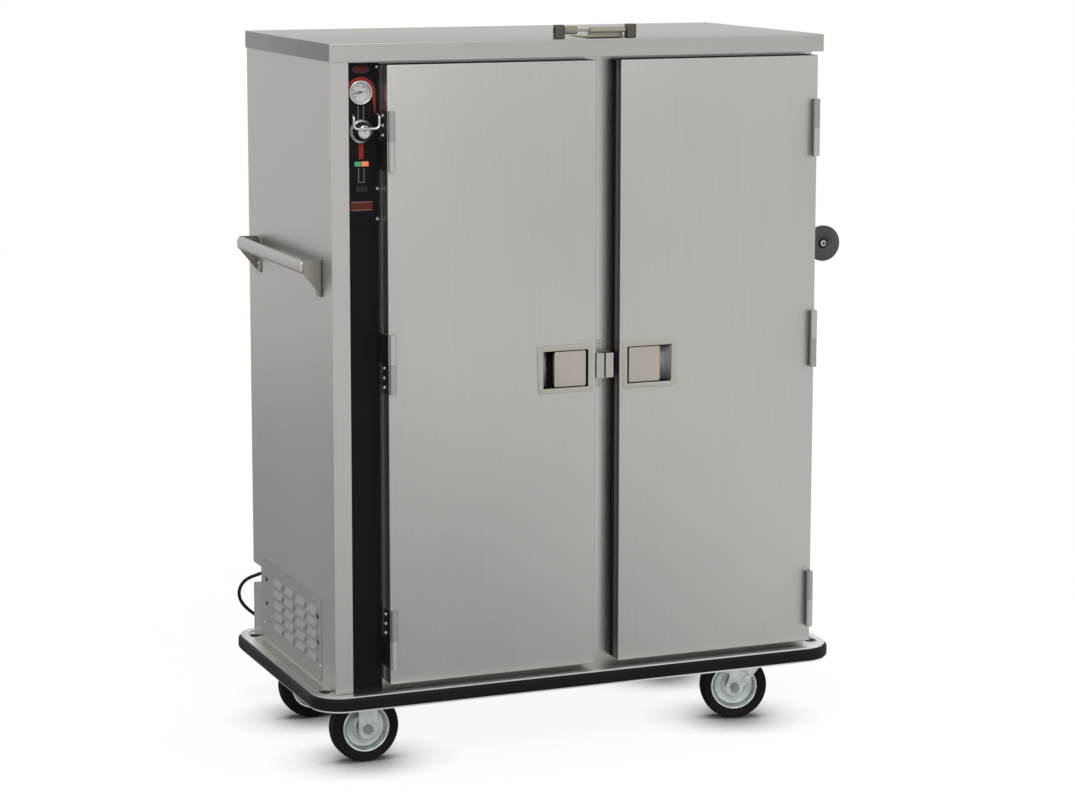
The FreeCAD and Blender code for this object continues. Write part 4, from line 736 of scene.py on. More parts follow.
class CABINET_OT_sheets(bpy.types.Operator):
    """Round the outer folds of the cap and door shells, and make the hinge straps and push handles"""
    bl_idname = "cabinet.sheets"
    bl_label = "Folded sheets"

    edge_depth = 0.026
    handle_reach = 0.050
    bar_depth = 0.020
    bar_height = 0.029
    bar_inset = 0.0045
    bar_round = 0.0095
    plate = 0.003
    plate_nose = 0.009
    flange = 0.036
    flange_round = 0.0006

    def execute(self, context):
        radius = context.scene.cabinet_sizes.fold_radius
        self.cap(radius)
        for side, out in SIDES:
            self.door_skin(side, out, radius)
        self.hinge_straps()
        for side, out in SIDES:
            self.handle(side, out)
        return {"FINISHED"}

    def cap(self, radius):
        """The lid, darkened a little with painted shade, and its two ends much darker with painted shade."""
        bm = eased_copy("top_cap", radius, (2, -1))
        sheet = add_piece("cap_sheet", bm, ["cap steel", "cap end"], "cabinet", ("top_cap",), 28)
        # The cap's end faces get the darker painted shade.
        for face in sheet.data.polygons:
            if abs(face.normal.x) > 0.9:
                face.material_index = 1

    def door_skin(self, side, out, radius):
        """A door's shell, its edges darkened with painted shade but for the front of the hinge side's edge.
        Behind a seam its edge is bright with painted light on the hinge side and black with painted shade on
        the latch side.
        """
        node = side + "_door_shell"
        box_low, box_high = box(node)
        seam = box_low.y + self.edge_depth
        bm = eased_copy(node, radius, (1, 1))
        bmesh.ops.bisect_plane(bm, geom=bm.verts[:] + bm.edges[:] + bm.faces[:], dist=MERGE,
                               plane_co=(0, seam, 0), plane_no=BACKWARD)
        # The shell's rim faces get painted shade.
        for face in bm.faces:
            place = face.calc_center_median()
            for k in (0, 2):
                on_rim = min(abs(place[k] - box_low[k]), abs(place[k] - box_high[k])) < TOUCH
                if on_rim and abs(face.normal[k]) > 0.95:
                    face.material_index = 1
        materials = ["steel upright", "painted shade edge", "hinge edge", "aluminium", "painted shade black"]
        skin = add_piece(side + "_door_skin", bm, materials, side + "_door", (node,), 28)
        # Behind the seam: a bright painted light strip on the hinge side, black painted shade on the latch
        # side.
        for face in skin.data.polygons:
            behind = face.center.y > seam
            if face.material_index == 1 and face.normal.x * out > 0.9:
                face.material_index = 3 if behind else 2
            elif face.material_index == 1 and face.normal.x * out < -0.9 and behind:
                face.material_index = 4

    def hinge_straps(self):
        """Frame halves of the hinges, with painted shade making the straps beside the doors as dark as the
        door edges.
        """
        node = "hinge_frame_leaves"
        bm = merged_copy(node)
        for face in bm.faces:
            # Side faces of the straps get painted shade.
            if abs(face.normal.x) > 0.95:
                face.material_index = 1
        add_piece("hinge_straps", bm, ["steel upright", "painted shade edge"], "cabinet", (node,), 30)

    def handle(self, side, out):
        """A push handle: a round-edged bar between two bracket plates with flanges on the wall, plates and
        flanges darkened with painted shade.
        """
        box_low, box_high = box("push_handles")
        outer = box_high.x if out > 0 else box_low.x
        wall = outer - out * self.handle_reach
        nose = outer - out * self.plate_nose
        foot, top = box_low.z, box_high.z
        under = top - self.bar_height
        near, far = box_low.y, box_high.y
        bm = bmesh.new()
        x0, x1 = sorted((outer, outer - out * self.bar_depth))
        block(bm, (x0, near + self.bar_inset, under), (x1, far - self.bar_inset, top), self.bar_round, 6)
        outline = ((nose, top), (wall, top), (wall, foot), (nose, under))
        x0, x1 = sorted((wall, wall + out * self.plate))
        for y, flange_y in ((near, near), (far - self.plate, far - self.flange)):
            face = bm.faces.new([bm.verts.new((x, y, z)) for x, z in outline])
            raised = extrude(bm, [face], (0, self.plate, 0))
            sheet = {f for v in face.verts for f in v.link_faces} | set(faces_of(raised))
            bmesh.ops.recalc_face_normals(bm, faces=list(sheet))
            # The bracket plates and flanges get painted shade.
            for part in sheet:
                part.material_index = 1
            block(bm, (x0, flange_y, foot), (x1, flange_y + self.flange, top), self.flange_round, 2, 1)
        replaced = ("push_handles",) if out < 0 else ()
        materials = ["steel deep", "bracket steel"]
        add_piece(side + "_push_handle", bm, materials, "cabinet", replaced, 32)


class CABINET_OT_latches(bpy.types.Operator):
    """Make the latch bezels and wells, the finger scoops, the paddles and the transport latch's ears"""
    bl_idname = "cabinet.latches"
    bl_label = "Latches"

    border = 0.011
    bezel_lip = 0.0017
    bezel_round = 0.0009
    scoop_width = 0.016
    scoop_depth = 0.025
    scoop_wall = 0.0006
    scoop_side_gap = 0.0008
    scoop_sunk = 0.0022
    pin_end = 0.0032
    pin_radius = 0.0025
    paddle_sheet = 0.003
    paddle_corner = 0.0036
    paddle_round = 0.0009
    paddle_back = 0.002
    grip_inset = 0.004
    grip_round = 0.0008
    lug_half = 0.004
    ear_width = 0.022
    ear_round = 0.003
    bolt_radius = 0.0052
    bolt_depth = 0.004
    rod_radius = 0.003
    spacer_length = 0.030
    spacer_radius = 0.0076
    rib = ((0.0076, 0.0), (0.0088, 0.0008), (0.0088, 0.0034), (0.0076, 0.0042))
    rib_pitch = 0.005
    rib_count = 6
    rod_inset = 0.001
    bolt_proud = 0.0001

    def execute(self, context):
        for side, out in SIDES:
            self.bezel(side)
            self.scoop(side, out)
            self.paddle(side, out)
        self.ears()
        return {"FINISHED"}

    def bezel(self, side):
        node = side + "_latch_housing"
        bm = merged_copy(node)
        face_y = low(node).y
        # Faces inside the well get black painted shade.
        for face in bm.faces:
            if face.calc_center_median().y > face_y + self.bezel_lip:
                face.material_index = 1
        front = [e for e in bm.edges if all(abs(v.co.y - face_y) < TOUCH for v in e.verts)]
        round_edges(bm, front, self.bezel_round, 2)
        materials = ["bezel steel", "painted shade black"]
        add_piece(side + "_bezel", bm, materials, side + "_door", (node,), 30)

    def scoop(self, side, out):
        """A curved finger sheet on the outer side of the well."""
        node = side + "_latch_housing"
        box_low, box_high = box(node)
        edge = (box_high.x if out > 0 else box_low.x) - out * (self.border + self.scoop_side_gap)
        front = box_low.y + self.scoop_sunk
        bottom = box_low.z + self.border + self.scoop_wall
        top = box_high.z - self.border - self.scoop_wall
        bm = bmesh.new()
        verts = []
        for angle in range(0, 91, 9):
            turn = math.radians(angle)
            x = edge - out * self.scoop_width * (1 - math.cos(turn))
            verts.append(bm.verts.new((x, front + self.scoop_depth * math.sin(turn), bottom)))
        edges = [bm.edges.new(pair) for pair in zip(verts, verts[1:])]
        raised = bmesh.ops.extrude_edge_only(bm, edges=edges)["geom"]
        bmesh.ops.translate(bm, vec=(0, 0, top - bottom), verts=verts_of(raised))
        bmesh.ops.recalc_face_normals(bm, faces=bm.faces[:])
        piece = add_piece(side + "_finger_scoop", bm, ["scoop grey"], side + "_door")
        add_wall(piece, "wall", self.scoop_wall, 0.0)

    def paddle(self, side, out):
        """A pull plate with its folded grip, its pin and two lugs on the pin."""
        node = side + "_latch_paddle"
        box_low, box_high = box(node)
        bottom = box_low.z + self.pin_end
        top = box_high.z - self.pin_end
        face_y = box_low.y
        behind = face_y + self.paddle_back
        sheet = self.paddle_sheet
        bm = bmesh.new()
        rounded_plate(bm, (box_low.x, face_y, bottom), (box_high.x, face_y + sheet, top),
                      self.paddle_corner, self.paddle_round)
        grip = box_high.x - sheet if out > 0 else box_low.x
        block(bm, (grip, behind, bottom + self.grip_inset), (grip + sheet, box_high.y, top - self.grip_inset),
              self.grip_round)
        pin = joint_place(side + "_paddle_pull")
        rod(bm, self.pin_radius, 0.0, box_high.z - box_low.z, Vector((pin.x, pin.y, box_low.z)), UPWARD, 20)
        lug_end = pin.y + self.pin_radius
        for z in (bottom + self.paddle_corner, top - self.paddle_corner - sheet):
            block(bm, (pin.x - self.lug_half, behind, z), (pin.x + self.lug_half, lug_end, z + sheet))
        add_piece(side + "_paddle_plate", bm, ["paddle steel"], side + "_paddle", (node,), 30)

    def ears(self):
        """Two ears with a rod between them, and a ribbed spacer on the rod."""
        box_low, box_high = box("latch_brackets")
        pin = joint_place("transport_latch_flip")
        start = Vector((box_low.x, pin.y, pin.z))
        length = box_high.x - box_low.x
        end = start + RIGHTWARD * length
        bm = bmesh.new()
        width = self.ear_width
        for x, foot, inward in ((box_low.x, start, RIGHTWARD), (box_high.x - width, end, -RIGHTWARD)):
            block(bm, (x, box_low.y, box_low.z), (x + width, box_high.y, box_high.z), self.ear_round, 4)
            rod(bm, self.bolt_radius, -self.bolt_proud, self.bolt_depth, foot, inward, 24, 2)
        rod(bm, self.rod_radius, self.rod_inset, length - self.rod_inset, start, RIGHTWARD, 24, 1)
        ribs = [(self.rod_radius, width)]
        for k in range(self.rib_count):
            ribs += [(r, width + self.rib_pitch * k + a) for r, a in self.rib]
        spacer_end = width + self.spacer_length
        ribs += [(self.spacer_radius, spacer_end), (self.rod_radius, spacer_end)]
        turned(bm, ribs, start, RIGHTWARD, 32, 1)
        # The ears are in a copy of the warm latch steel at 0.30 of its brightness.
        materials = ["darkened warm steel", "warm steel", "painted shade black"]
        add_piece("latch_ears", bm, materials, "cabinet", ("latch_brackets",), 32)


class CABINET_OT_wheels(bpy.types.Operator):
    """Make the treaded tyres, dished rims and axle nuts"""
    bl_idname = "cabinet.wheels"
    bl_label = "Wheels"

    tyre_outline = [(53.5, 18.8), (56.5, 21.8), (61.5, 23.6), (67.0, 23.6), (70.6, 22.2), (74.6, 15.8),
                    (75.7, 11.5), (76.0, 5.0)]
    rim_outline = [(6.2, 21.5), (13.0, 21.5), (14.0, 20.5), (14.0, 13.5), (16.0, 12.0), (23.0, 12.0),
                   (25.0, 10.5), (29.0, 5.5), (38.0, 5.0), (43.0, 6.5), (46.5, 12.0), (48.0, 17.5),
                   (49.5, 19.7), (52.0, 20.4), (53.5, 19.2)]
    shoulder_start = 0.0715
    shoulder_end = 0.0738
    crown_radius = 0.0757
    crown_half = 0.006
    groove_inset = 0.0005
    groove_depth = 0.0022
    crown_inset = 0.0022
    crown_depth = 0.0014
    lip_radius = 0.0468
    rim_screws = 5
    rim_head = (0.0032, 0.0022)
    screw_circle = 0.0195
    screw_seat = 0.0119
    nut_seat = 0.032
    nut = [(0.0112, 0.0), (0.0112, 0.0060), (0.0104, 0.0066), (0.0, 0.0066)]
    axle_end = [(0.0046, 0.006), (0.0046, 0.0082), (0.0038, 0.0088), (0.0, 0.0088)]

    def execute(self, context):
        blocks = context.scene.cabinet_sizes.tread_blocks
        for corner in CORNERS:
            centre = joint_place(corner + "_roll")
            axis = joint_axis(corner + "_roll")
            self.tyre(corner, centre, axis, blocks)
            self.rim(corner, centre, axis)
            self.nuts(corner, centre, axis)
        return {"FINISHED"}

    def ring(self, outline):
        """A closed profile from its outline on one side of the wheel."""
        outer = [(r * MM, a * MM) for r, a in outline]
        return outer + [(r, -a) for r, a in reversed(outer)] + outer[:1]

    def tyre(self, corner, centre, axis, blocks):
        """A tyre with grooves that alternate on its two shoulders, and one round its crown."""
        bm = bmesh.new()
        side = axis.orthogonal().normalized()
        upright = axis.cross(side)
        grooves = []
        crown = []
        for face in turned(bm, self.ring(self.tyre_outline), centre, axis, blocks * 2):
            place = face.calc_center_median() - centre
            along = place.dot(axis)
            out = place - axis * along
            if self.shoulder_start < out.length < self.shoulder_end:
                angle = math.atan2(out.dot(upright), out.dot(side)) % FULL_TURN
                step = int(angle / FULL_TURN * blocks * 2)
                if step % 2 == (0 if along > 0 else 1):
                    grooves.append(face)
            elif out.length > self.crown_radius and abs(along) < self.crown_half:
                crown.append(face)
        bmesh.ops.inset_individual(bm, faces=grooves, thickness=self.groove_inset, depth=-self.groove_depth)
        bmesh.ops.inset_region(bm, faces=crown, thickness=self.crown_inset, depth=-self.crown_depth)
        body = corner + "_wheel"
        add_piece(corner + "_tread", bm, ["tyre rubber"], body, (corner + "_tyre",), 30)

    def rim(self, corner, centre, axis):
        """A dished rim with a bright lip, and screws round its hub."""
        bm = bmesh.new()
        for face in turned(bm, self.ring(self.rim_outline), centre, axis, 64):
            place = face.calc_center_median() - centre
            if (place - axis * place.dot(axis)).length > self.lip_radius:
                face.material_index = 1
        side = axis.orthogonal().normalized()
        for sign in (1, -1):
            for k in range(self.rim_screws):
                spoke = Matrix.Rotation(FULL_TURN * k / self.rim_screws, 3, axis) @ side
                foot = centre + spoke * self.screw_circle + axis * sign * self.screw_seat
                screw_head(bm, foot, axis * sign, *self.rim_head)
        materials = ["zinc", "rim bright"]
        replaced = (corner + "_rim",)
        add_piece(corner + "_dished_rim", bm, materials, corner + "_wheel", replaced, 32)

    def nuts(self, corner, centre, axis):
        bm = bmesh.new()
        for out in (axis, -axis):
            foot = centre + out * self.nut_seat
            turned(bm, self.nut, foot, out, 6)
            turned(bm, self.axle_end, foot, out, 24)
        body = "cabinet" if corner.endswith("left") else corner + "_caster"
        add_piece(corner + "_axle_nuts", bm, ["zinc shade"], body)


class CABINET_OT_gauge(bpy.types.Operator):
    """Make the thermometer's dial, scale, rim and glass"""
    bl_idname = "cabinet.gauge"
    bl_label = "Thermometer"

    numbers = (("50", 222.0), ("100", 166.0), ("150", 110.0), ("200", 54.0), ("250", -2.0))
    case_lip = [(0.0220, 0.0012), (0.0225, 0.0004), (0.0235, 0.0), (0.0250, 0.0003), (0.0258, 0.0012),
                (0.0260, 0.0028), (0.0240, 0.0030)]
    dial_back = 0.003
    scale_start = 222.0
    scale_sweep = 280.0
    dial_radius = 0.0218
    dial_sheet = 0.0003
    long_mark = 0.0031
    short_mark = 0.0017
    mark_reach = 0.0192
    mark_width = 0.0005
    mark_half_rise = 0.0001
    figure_size = 0.0046
    figure_reach = 0.0134
    figure_lift = 0.0005
    figure_rise = 0.00006
    ring = [(0.0194, 0.0), (0.0194, 0.0001), (0.0197, 0.0001), (0.0197, 0.0), (0.0194, 0.0)]
    glass = [(0.0, 0.0022), (0.0219, 0.0022), (0.0219, 0.0016), (0.0, 0.0014)]

    def execute(self, context):
        centre = middle("thermometer_case")
        front = Vector((centre.x, low("thermometer_case").y, centre.z))
        depth = high("thermometer_case").y - front.y
        dial = depth - self.dial_back
        case = [(0.0, dial), (0.0220, dial), *self.case_lip, (0.0240, depth), (0.0, depth)]
        bm = bmesh.new()
        turned(bm, case, front, BACKWARD, 64)
        add_piece("gauge_case", bm, ["chrome"], "cabinet", ("thermometer_case",), 40)
        face = front + BACKWARD * dial
        self.scale(face, context.scene.cabinet_sizes.dial_marks)
        self.figures(context, face + FORWARD * self.figure_lift)
        bm = bmesh.new()
        turned(bm, self.glass, front, BACKWARD, 48)
        add_piece("gauge_glass", bm, ["glass"], "cabinet")
        return {"FINISHED"}

    def scale(self, centre, marks):
        """The white dial with its ring and marks, every fifth mark longer."""
        face = centre + FORWARD * self.dial_sheet
        bm = bmesh.new()
        rod(bm, self.dial_radius, 0.0, self.dial_sheet, centre, FORWARD, 64)
        half = self.mark_width / 2
        for k in range(marks):
            angle = math.radians(self.scale_start - self.scale_sweep * k / (marks - 1))
            length = self.long_mark if k % 5 == 0 else self.short_mark
            verts = block(bm, (self.mark_reach - length, -self.mark_half_rise, -half),
                          (self.mark_reach, self.mark_half_rise, half), material=1)
            bmesh.ops.rotate(bm, cent=(0, 0, 0), matrix=Matrix.Rotation(-angle, 3, "Y"), verts=verts)
            bmesh.ops.translate(bm, vec=face, verts=verts)
        turned(bm, self.ring, face, FORWARD, 64, 1)
        add_piece("gauge_dial", bm, ["dial white", "dial black"], "cabinet")

    def figures(self, context, centre):
        """Plain numbers round the scale, as one mesh."""
        joined = bmesh.new()
        for words, angle in self.numbers:
            line = bpy.data.curves.new("figure", "FONT")
            line.body = words
            line.size = self.figure_size
            line.align_x = "CENTER"
            line.align_y = "CENTER"
            line.extrude = self.figure_rise
            holder = link("figure", line)
            context.view_layer.update()
            mesh = bpy.data.meshes.new_from_object(holder)
            bpy.data.objects.remove(holder)
            turn = math.radians(angle)
            place = centre + Vector((math.cos(turn), 0, math.sin(turn))) * self.figure_reach
            mesh.transform(Matrix.Translation(place) @ Matrix.Rotation(math.radians(90), 4, "X"))
            joined.from_mesh(mesh)
            bpy.data.meshes.remove(mesh)
        add_piece("gauge_figures", joined, ["dial black"], "cabinet")


class CABINET_OT_controls(bpy.types.Operator):
    """Make the printed marks, knob, pilot lights and switch frame of the control panel"""
    bl_idname = "cabinet.controls"
    bl_label = "Controls"

    case_rim = 0.003
    print_rise = 0.0003
    arch_reach = 0.0325
    arch_legs = (-0.054, -0.030, -0.012)
    arch_tip = 0.0008
    arch_widening = 0.0072
    bar_top = -0.108
    bar_length = 0.031
    bar_half = 0.005
    line_spans = ((-0.0285, -0.0555), (-0.158, -0.187))
    line_apart = 0.0060
    line_half = 0.0009
    badge_height = 0.0485
    badge_squash = 0.44
    badge = [(0.0175, 0.0), (0.0172, 0.0009), (0.0155, 0.0013), (0.0, 0.0014)]
    badge_rim = [(0.0176, 0.0), (0.0180, 0.0008), (0.0186, 0.0008), (0.0188, 0.0)]
    plate_height = -0.238
    plate_half = (0.0245, 0.0105)
    plate_rise = 0.0012
    plate_round = 0.0005
    plate_line_half = (0.0225, 0.0008)
    plate_line_at = 0.0082
    plate_line_sunk = 0.0001
    knob_seat = 0.014
    knob_skirt = [(0.0, 0.0), (0.0262, 0.0), (0.0262, 0.0012), (0.0250, 0.0030), (0.0205, 0.0056),
                  (0.0205, 0.0060)]
    knob_groove = [(0.0205, 0.0060), (0.0185, 0.0052), (0.0165, 0.0052), (0.0160, 0.0060)]
    knob_grip = [(0.0160, 0.0060), (0.0152, 0.0075), (0.0146, 0.0215), (0.0138, 0.0242), (0.0118, 0.0256),
                 (0.0060, 0.0260), (0.0, 0.0260)]
    knob_stem = [(0.0, -0.0135), (0.003, -0.0135), (0.003, 0.0)]
    pointer_low = Vector((-0.0011, -0.0263, 0.0))
    pointer_high = Vector((0.0011, -0.0255, 0.0125))
    pointer_round = 0.0002
    lens_gap = 0.0002
    lens_round = 0.0016
    switch_outer = (0.0178, 0.0093)
    switch_inner = (0.0150, 0.0063)
    switch_rise = 0.0006
    switch_round = 0.0003

    def execute(self, context):
        gauge = middle("thermometer_case")
        gauge.y = low("thermometer_case").y + self.case_rim
        self.red_marks(gauge)
        self.lines(gauge)
        self.oval_badge(gauge)
        self.bare_plate(gauge)
        self.knob()
        self.lights()
        self.switch_frame(gauge.y)
        return {"FINISHED"}

    def flat_block(self, bm, origin, lowest, highest, rise, radius=0.0, material=0):
        """A flat block on the panel. Its corners are measured sideways and upwards from an origin."""
        front = origin + Vector((lowest[0], -rise, lowest[1]))
        block(bm, front, origin + Vector((highest[0], 0, highest[1])), radius, 2, material)

    def red_marks(self, gauge):
        """An arch round the thermometer that tapers along its legs, and a bar under the knob."""
        reach = self.arch_reach
        leg = -self.arch_legs[0]
        turns = [math.radians(angle) for angle in range(0, 181, 10)]
        outer = [(reach, z) for z in self.arch_legs]
        outer += [(reach * math.cos(turn), reach * math.sin(turn)) for turn in turns]
        outer += [(-reach, z) for z in reversed(self.arch_legs)]
        inner = []
        for a, b in outer:
            width = self.arch_tip + self.arch_widening * max(0.0, min(1.0, (b + leg) / leg))
            shrink = 1 - width / math.hypot(a, max(b, 0.0))
            inner.append((a * shrink, b if b <= 0 else b * shrink))
        bm = bmesh.new()
        chains = []
        for outline in (outer, inner):
            verts = [bm.verts.new(gauge + Vector((a, -self.print_rise, b))) for a, b in outline]
            chains += [bm.edges.new(pair) for pair in zip(verts, verts[1:])]
        made = bmesh.ops.bridge_loops(bm, edges=chains)
        extrude(bm, made["faces"], (0, self.print_rise, 0))
        bmesh.ops.recalc_face_normals(bm, faces=bm.faces[:])
        bar_foot = self.bar_top - self.bar_length
        self.flat_block(bm, gauge, (-self.bar_half, bar_foot), (self.bar_half, self.bar_top), self.print_rise)
        add_piece("panel_red_marks", bm, ["red print"], "cabinet")

    def lines(self, gauge):
        """Pairs of grey lines between the controls, the lower pair closed at its foot."""
        bm = bmesh.new()
        rise = 2 * self.print_rise
        half = self.line_half
        for top, bottom in self.line_spans:
            for at in (-self.line_apart, self.line_apart):
                self.flat_block(bm, gauge, (at - half, bottom), (at + half, top), rise)
        reach = self.line_apart + half
        foot = self.line_spans[1][1]
        self.flat_block(bm, gauge, (-reach, foot - 2 * half), (reach, foot), rise)
        add_piece("panel_lines", bm, ["grey print"], "cabinet")

    def oval_badge(self, gauge):
        """A bare dark red oval with a grey rim."""
        bm = bmesh.new()
        centre = gauge + UPWARD * self.badge_height
        turned(bm, self.badge, centre, FORWARD, 48, 0)
        turned(bm, self.badge_rim, centre, FORWARD, 48, 1)
        about = Matrix.Translation(-centre)
        bmesh.ops.scale(bm, vec=(1, 1, self.badge_squash), space=about, verts=bm.verts[:])
        add_piece("panel_oval_badge", bm, ["dark red", "grey print"], "cabinet")

    def bare_plate(self, gauge):
        """A bare dark red plate with a grey line near its top and its foot."""
        bm = bmesh.new()
        centre = gauge + UPWARD * self.plate_height
        x, z = self.plate_half
        self.flat_block(bm, centre, (-x, -z), (x, z), self.plate_rise, self.plate_round)
        x, z = self.plate_line_half
        raised = centre + FORWARD * (self.plate_rise - self.plate_line_sunk)
        for at in (self.plate_line_at, -self.plate_line_at):
            self.flat_block(bm, raised, (-x, at - z), (x, at + z), self.print_rise, material=1)
        add_piece("panel_bare_plate", bm, ["dark red", "grey print"], "cabinet")

    def knob(self):
        centre = joint_place("thermostat_turn")
        seat = Vector((centre.x, high("thermostat_knob").y - self.knob_seat, centre.z))
        bm = bmesh.new()
        turned(bm, self.knob_skirt, seat, FORWARD, 64, 0)
        turned(bm, self.knob_groove, seat, FORWARD, 64, 1)
        turned(bm, self.knob_grip, seat, FORWARD, 64, 0)
        block(bm, seat + self.pointer_low, seat + self.pointer_high, self.pointer_round, 1, 1)
        turned(bm, self.knob_stem, seat, FORWARD, 24, 0)
        add_piece("dial_knob", bm, ["knob silver", "dial black"], "thermostat_knob",
                  ("thermostat_knob",))

    def lights(self):
        box_low, box_high = box("pilot_lights")
        half = middle("pilot_lights").x
        for colour, x0, x1, replaced in (("green", box_low.x, half - self.lens_gap, ("pilot_lights",)),
                                         ("amber", half + self.lens_gap, box_high.x, ())):
            bm = bmesh.new()
            block(bm, (x0, box_low.y, box_low.z), (x1, box_high.y, box_high.z), self.lens_round, 3)
            add_piece(colour + "_light", bm, [colour + " lens"], "cabinet", replaced)

    def switch_frame(self, panel_y):
        """Four bars round the rocker."""
        centre = middle("switch_rocker")
        centre.y = panel_y
        outer_x, outer_z = self.switch_outer
        inner_x, inner_z = self.switch_inner
        bm = bmesh.new()
        for sign in (-1, 1):
            z0, z1 = sorted((sign * inner_z, sign * outer_z))
            x0, x1 = sorted((sign * inner_x, sign * outer_x))
            for lowest, highest in (((-outer_x, z0), (outer_x, z1)), ((x0, -inner_z), (x1, inner_z))):
                self.flat_block(bm, centre, lowest, highest, self.switch_rise, self.switch_round)
        add_piece("switch_frame", bm, ["switch black"], "cabinet")


class CABINET_OT_fasteners(bpy.types.Operator):
    """Add the hinge screws, the bumper disc's screw, the dark studs and the deck plugs"""
    bl_idname = "cabinet.fasteners"
    bl_label = "Fasteners"

    hinge_half = 0.0315
    hinge_pitch = 0.5345
    hinge_screw_step = 0.0205
    hinge_screw_inset = 0.012
    hinge_head = (0.0042, 0.0022)
    disc_head = (0.0078, 0.0052)
    stud_head = (0.0046, 0.0030)
    disc_hollow = [(0.0200, 0.0063), (0.0195, 0.0058), (0.0103, 0.0004), (0.0, 0.0004)]
    disc_screw_depth = 0.0062
    stud_places = ((-184.0, 329.0), (-184.0, 273.0), (190.0, 329.0), (190.0, 273.0))
    louvre_face = -582.2
    deck_holes = ((-593.5, -258.0), (-593.5, 258.0), (571.5, -258.0), (571.5, 258.0))
    deck_top = 182.0
    plug_outline = [(0.0, -0.0014), (0.0108, -0.0014), (0.0108, 0.0), (0.0128, 0.0), (0.0124, 0.0006),
                    (0.0, 0.0012)]

    def execute(self, context):
        for side, out in SIDES:
            self.hinge_screws(side, out)
        self.disc_screw()
        self.studs()
        self.plugs()
        return {"FINISHED"}

    def hinge_screws(self, side, out):
        """Three screws in each door half of a door's hinges."""
        leaf_low, leaf_high = box(side + "_hinge_leaves")
        x = leaf_low.x if out < 0 else leaf_high.x
        y = leaf_high.y - self.hinge_screw_inset
        upper = leaf_high.z - self.hinge_half
        bm = bmesh.new()
        for hinge in (upper, upper - self.hinge_pitch, leaf_low.z + self.hinge_half):
            for step in (-self.hinge_screw_step, 0.0, self.hinge_screw_step):
                screw_head(bm, Vector((x, y, hinge + step)), RIGHTWARD * out, *self.hinge_head)
        add_piece(side + "_hinge_screws", bm, ["screw steel"], side + "_door")

    def disc_screw(self):
        bm = bmesh.new()
        foot = middle("door_bumper")
        foot.y = low("door_bumper").y + self.disc_screw_depth
        screw_head(bm, foot, FORWARD, *self.disc_head)
        # The hollow round the screw is near black painted shade.
        turned(bm, self.disc_hollow, foot, FORWARD, 48, 1)
        add_piece("disc_screw", bm, ["screw steel", "disc shade"], "cabinet")

    def studs(self):
        bm = bmesh.new()
        for y, z in self.stud_places:
            screw_head(bm, mm(self.louvre_face, y, z), -RIGHTWARD, *self.stud_head)
        add_piece("louvre_studs", bm, ["stud black"], "cabinet")

    def plugs(self):
        bm = bmesh.new()
        for x, y in self.deck_holes:
            turned(bm, self.plug_outline, mm(x, y, self.deck_top), UPWARD, 32)
        add_piece("deck_plugs", bm, ["gasket rubber"], "cabinet")


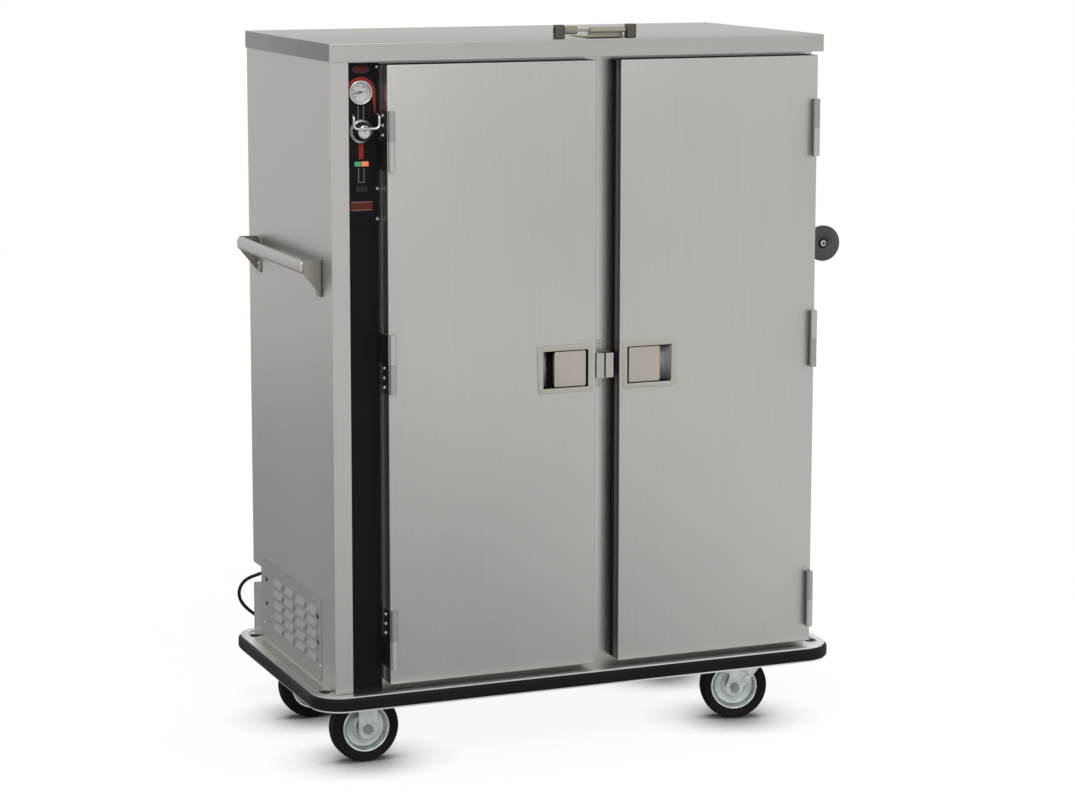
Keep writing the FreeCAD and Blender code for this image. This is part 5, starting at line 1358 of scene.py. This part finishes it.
class CABINET_OT_stage(bpy.types.Operator):
    """Set up the camera, the pale floor and the studio light"""
    bl_idname = "cabinet.stage"
    bl_label = "Studio"

    floor_radius = 9.0
    contact_reach = 0.15
    shaded_corner = (-1.1, -0.7, 0)
    lamps = (("front_light", (-1.6, -5.6, 5.0), (0.1, -0.2, 0.8), (4.4, 3.2), "key_power"),
             ("right_light", (4.8, -3.2, 4.2), (0.2, 0.0, 0.8), (3.0, 3.0), "fill_power"))

    def execute(self, context):
        settings = context.scene.cabinet_stage
        self.camera(context, settings)
        self.floor()
        self.world(context)
        for name, place, target, size, power in self.lamps:
            self.lamp(name, Vector(place), Vector(target), size, getattr(settings, power))
        context.scene.view_settings.view_transform = "Standard"
        return {"FINISHED"}

    def camera(self, context, settings):
        data = bpy.data.cameras.new("photo_camera")
        data.sensor_width = 36.0
        data.lens = settings.lens
        data.shift_y = settings.camera_shift
        data.clip_end = 200.0
        camera = link("photo_camera", data)
        turn = Matrix.Rotation(-settings.camera_turn, 4, "Z")
        tilt = Matrix.Rotation(math.radians(90) - settings.camera_tilt, 4, "X")
        roll = Matrix.Rotation(settings.camera_roll, 4, "Z")
        camera.matrix_world = Matrix.Translation(settings.camera_place) @ turn @ tilt @ roll
        context.scene.camera = camera

    def floor(self):
        bm = bmesh.new()
        bmesh.ops.create_circle(bm, cap_ends=True, radius=self.floor_radius, segments=96)
        mesh = mesh_from("studio_floor", bm)
        floor = link("studio_floor", mesh)
        mesh.materials.append(self.floor_material())

    def floor_material(self):
        """White to the camera but for the shadows at the wheels, and less bright in the cabinet's metal."""
        material = bare_material("studio floor")
        tree = material.node_tree
        path = add_node(tree, "LightPath").outputs
        to_camera = path["Is Camera Ray"]
        mirrored = larger(tree, path["Is Glossy Ray"], path["Is Transmission Ray"])
        place = add_node(tree, "TexCoord").outputs["Object"]
        away = add_node(tree, "VectorMath", {0: place}, operation="LENGTH").outputs["Value"]
        contact = add_node(tree, "AmbientOcclusion", {"Distance": self.contact_reach}, samples=4)
        unshaded = ease(tree, contact.outputs["AO"], 0.58, 1.03, 0.0, 1.0)
        in_view = product(tree, ease(tree, away, 1.0, 2.6, 0.92, 1.0), unshaded)
        corner = add_node(tree, "VectorMath", {0: place, 1: self.shaded_corner}, operation="DISTANCE")
        near = ease(tree, corner.outputs["Value"], 0.9, 2.8, 0.28, 1.0)
        depth = add_node(tree, "SeparateXYZ", {0: place}).outputs["Y"]
        ahead = larger(tree, ease(tree, depth, -0.9, 0.7, 1.0, 0.12), ease(tree, depth, 2.6, 7.0, 0.0, 0.9))
        mirror_part = product(tree, product(tree, near, ahead), mirrored)
        white_part = larger(tree, product(tree, in_view, to_camera), mirror_part)
        matt = add_node(tree, "BsdfDiffuse", {"Color": (0.50, 0.50, 0.50, 1)}).outputs[0]
        bright = add_node(tree, "BsdfDiffuse", {"Color": ease(tree, in_view, 0.0, 1.0, 0.3, 1.5)}).outputs[0]
        white = add_node(tree, "Emission").outputs[0]
        lit = mixed(tree, white_part, mixed(tree, to_camera, matt, bright), white)
        add_node(tree, "OutputMaterial", {"Surface": lit})
        return material

    def world(self, context):
        """White behind the cabinet, and a little softer in its metal."""
        world = bpy.data.worlds.new("white studio")
        context.scene.world = world
        world.use_nodes = True
        tree = world.node_tree
        tree.nodes.clear()
        path = add_node(tree, "LightPath").outputs
        mirrored = larger(tree, path["Is Glossy Ray"], path["Is Transmission Ray"])
        seen = larger(tree, path["Is Camera Ray"], ease(tree, mirrored, 0.0, 1.0, 0.0, 0.60))
        ambient = add_node(tree, "Background", {"Color": (0.62, 0.62, 0.62, 1)}).outputs[0]
        white = add_node(tree, "Background", {"Color": (1, 1, 1, 1)}).outputs[0]
        add_node(tree, "OutputWorld", {"Surface": mixed(tree, seen, ambient, white)})

    def lamp(self, name, place, target, size, power):
        data = bpy.data.lights.new(name, "AREA")
        data.shape = "RECTANGLE"
        data.size, data.size_y = size
        data.energy = power
        lamp = link(name, data)
        lamp.location = place
        lamp.rotation_euler = (target - place).to_track_quat("-Z", "Y").to_euler()


class CABINET_PT_panel(bpy.types.Panel):
    """Sidebar list of the steps that dress the cabinet"""
    bl_idname = "CABINET_PT_panel"
    bl_label = "Heated cabinet"
    bl_space_type = "VIEW_3D"
    bl_region_type = "UI"
    bl_category = "Cabinet"

    def draw(self, context):
        layout = self.layout
        for group in (context.scene.cabinet_finish, context.scene.cabinet_sizes, context.scene.cabinet_stage):
            for name in group.__annotations__:
                layout.prop(group, name)
        for step in STEPS:
            layout.operator(step.bl_idname)


GROUPS = (CabinetFinish, CabinetSizes, CabinetStage)
STEPS = (CABINET_OT_stage, CABINET_OT_finishes, CABINET_OT_cord, CABINET_OT_sheets, CABINET_OT_latches,
         CABINET_OT_wheels, CABINET_OT_gauge, CABINET_OT_controls, CABINET_OT_fasteners)
CLASSES = GROUPS + STEPS + (CABINET_PT_panel,)


def register():
    for cls in CLASSES:
        bpy.utils.register_class(cls)
    bpy.types.Scene.cabinet_finish = PointerProperty(type=CabinetFinish)
    bpy.types.Scene.cabinet_sizes = PointerProperty(type=CabinetSizes)
    bpy.types.Scene.cabinet_stage = PointerProperty(type=CabinetStage)


def unregister():
    del bpy.types.Scene.cabinet_stage
    del bpy.types.Scene.cabinet_sizes
    del bpy.types.Scene.cabinet_finish
    for cls in reversed(CLASSES):
        bpy.utils.unregister_class(cls)


def main():
    register()
    bpy.ops.cabinet.stage()
    bpy.ops.cabinet.finishes()
    bpy.ops.cabinet.cord()
    bpy.ops.cabinet.sheets()
    bpy.ops.cabinet.latches()
    bpy.ops.cabinet.wheels()
    bpy.ops.cabinet.gauge()
    bpy.ops.cabinet.controls()
    bpy.ops.cabinet.fasteners()


if __name__ == "__main__":
    main()
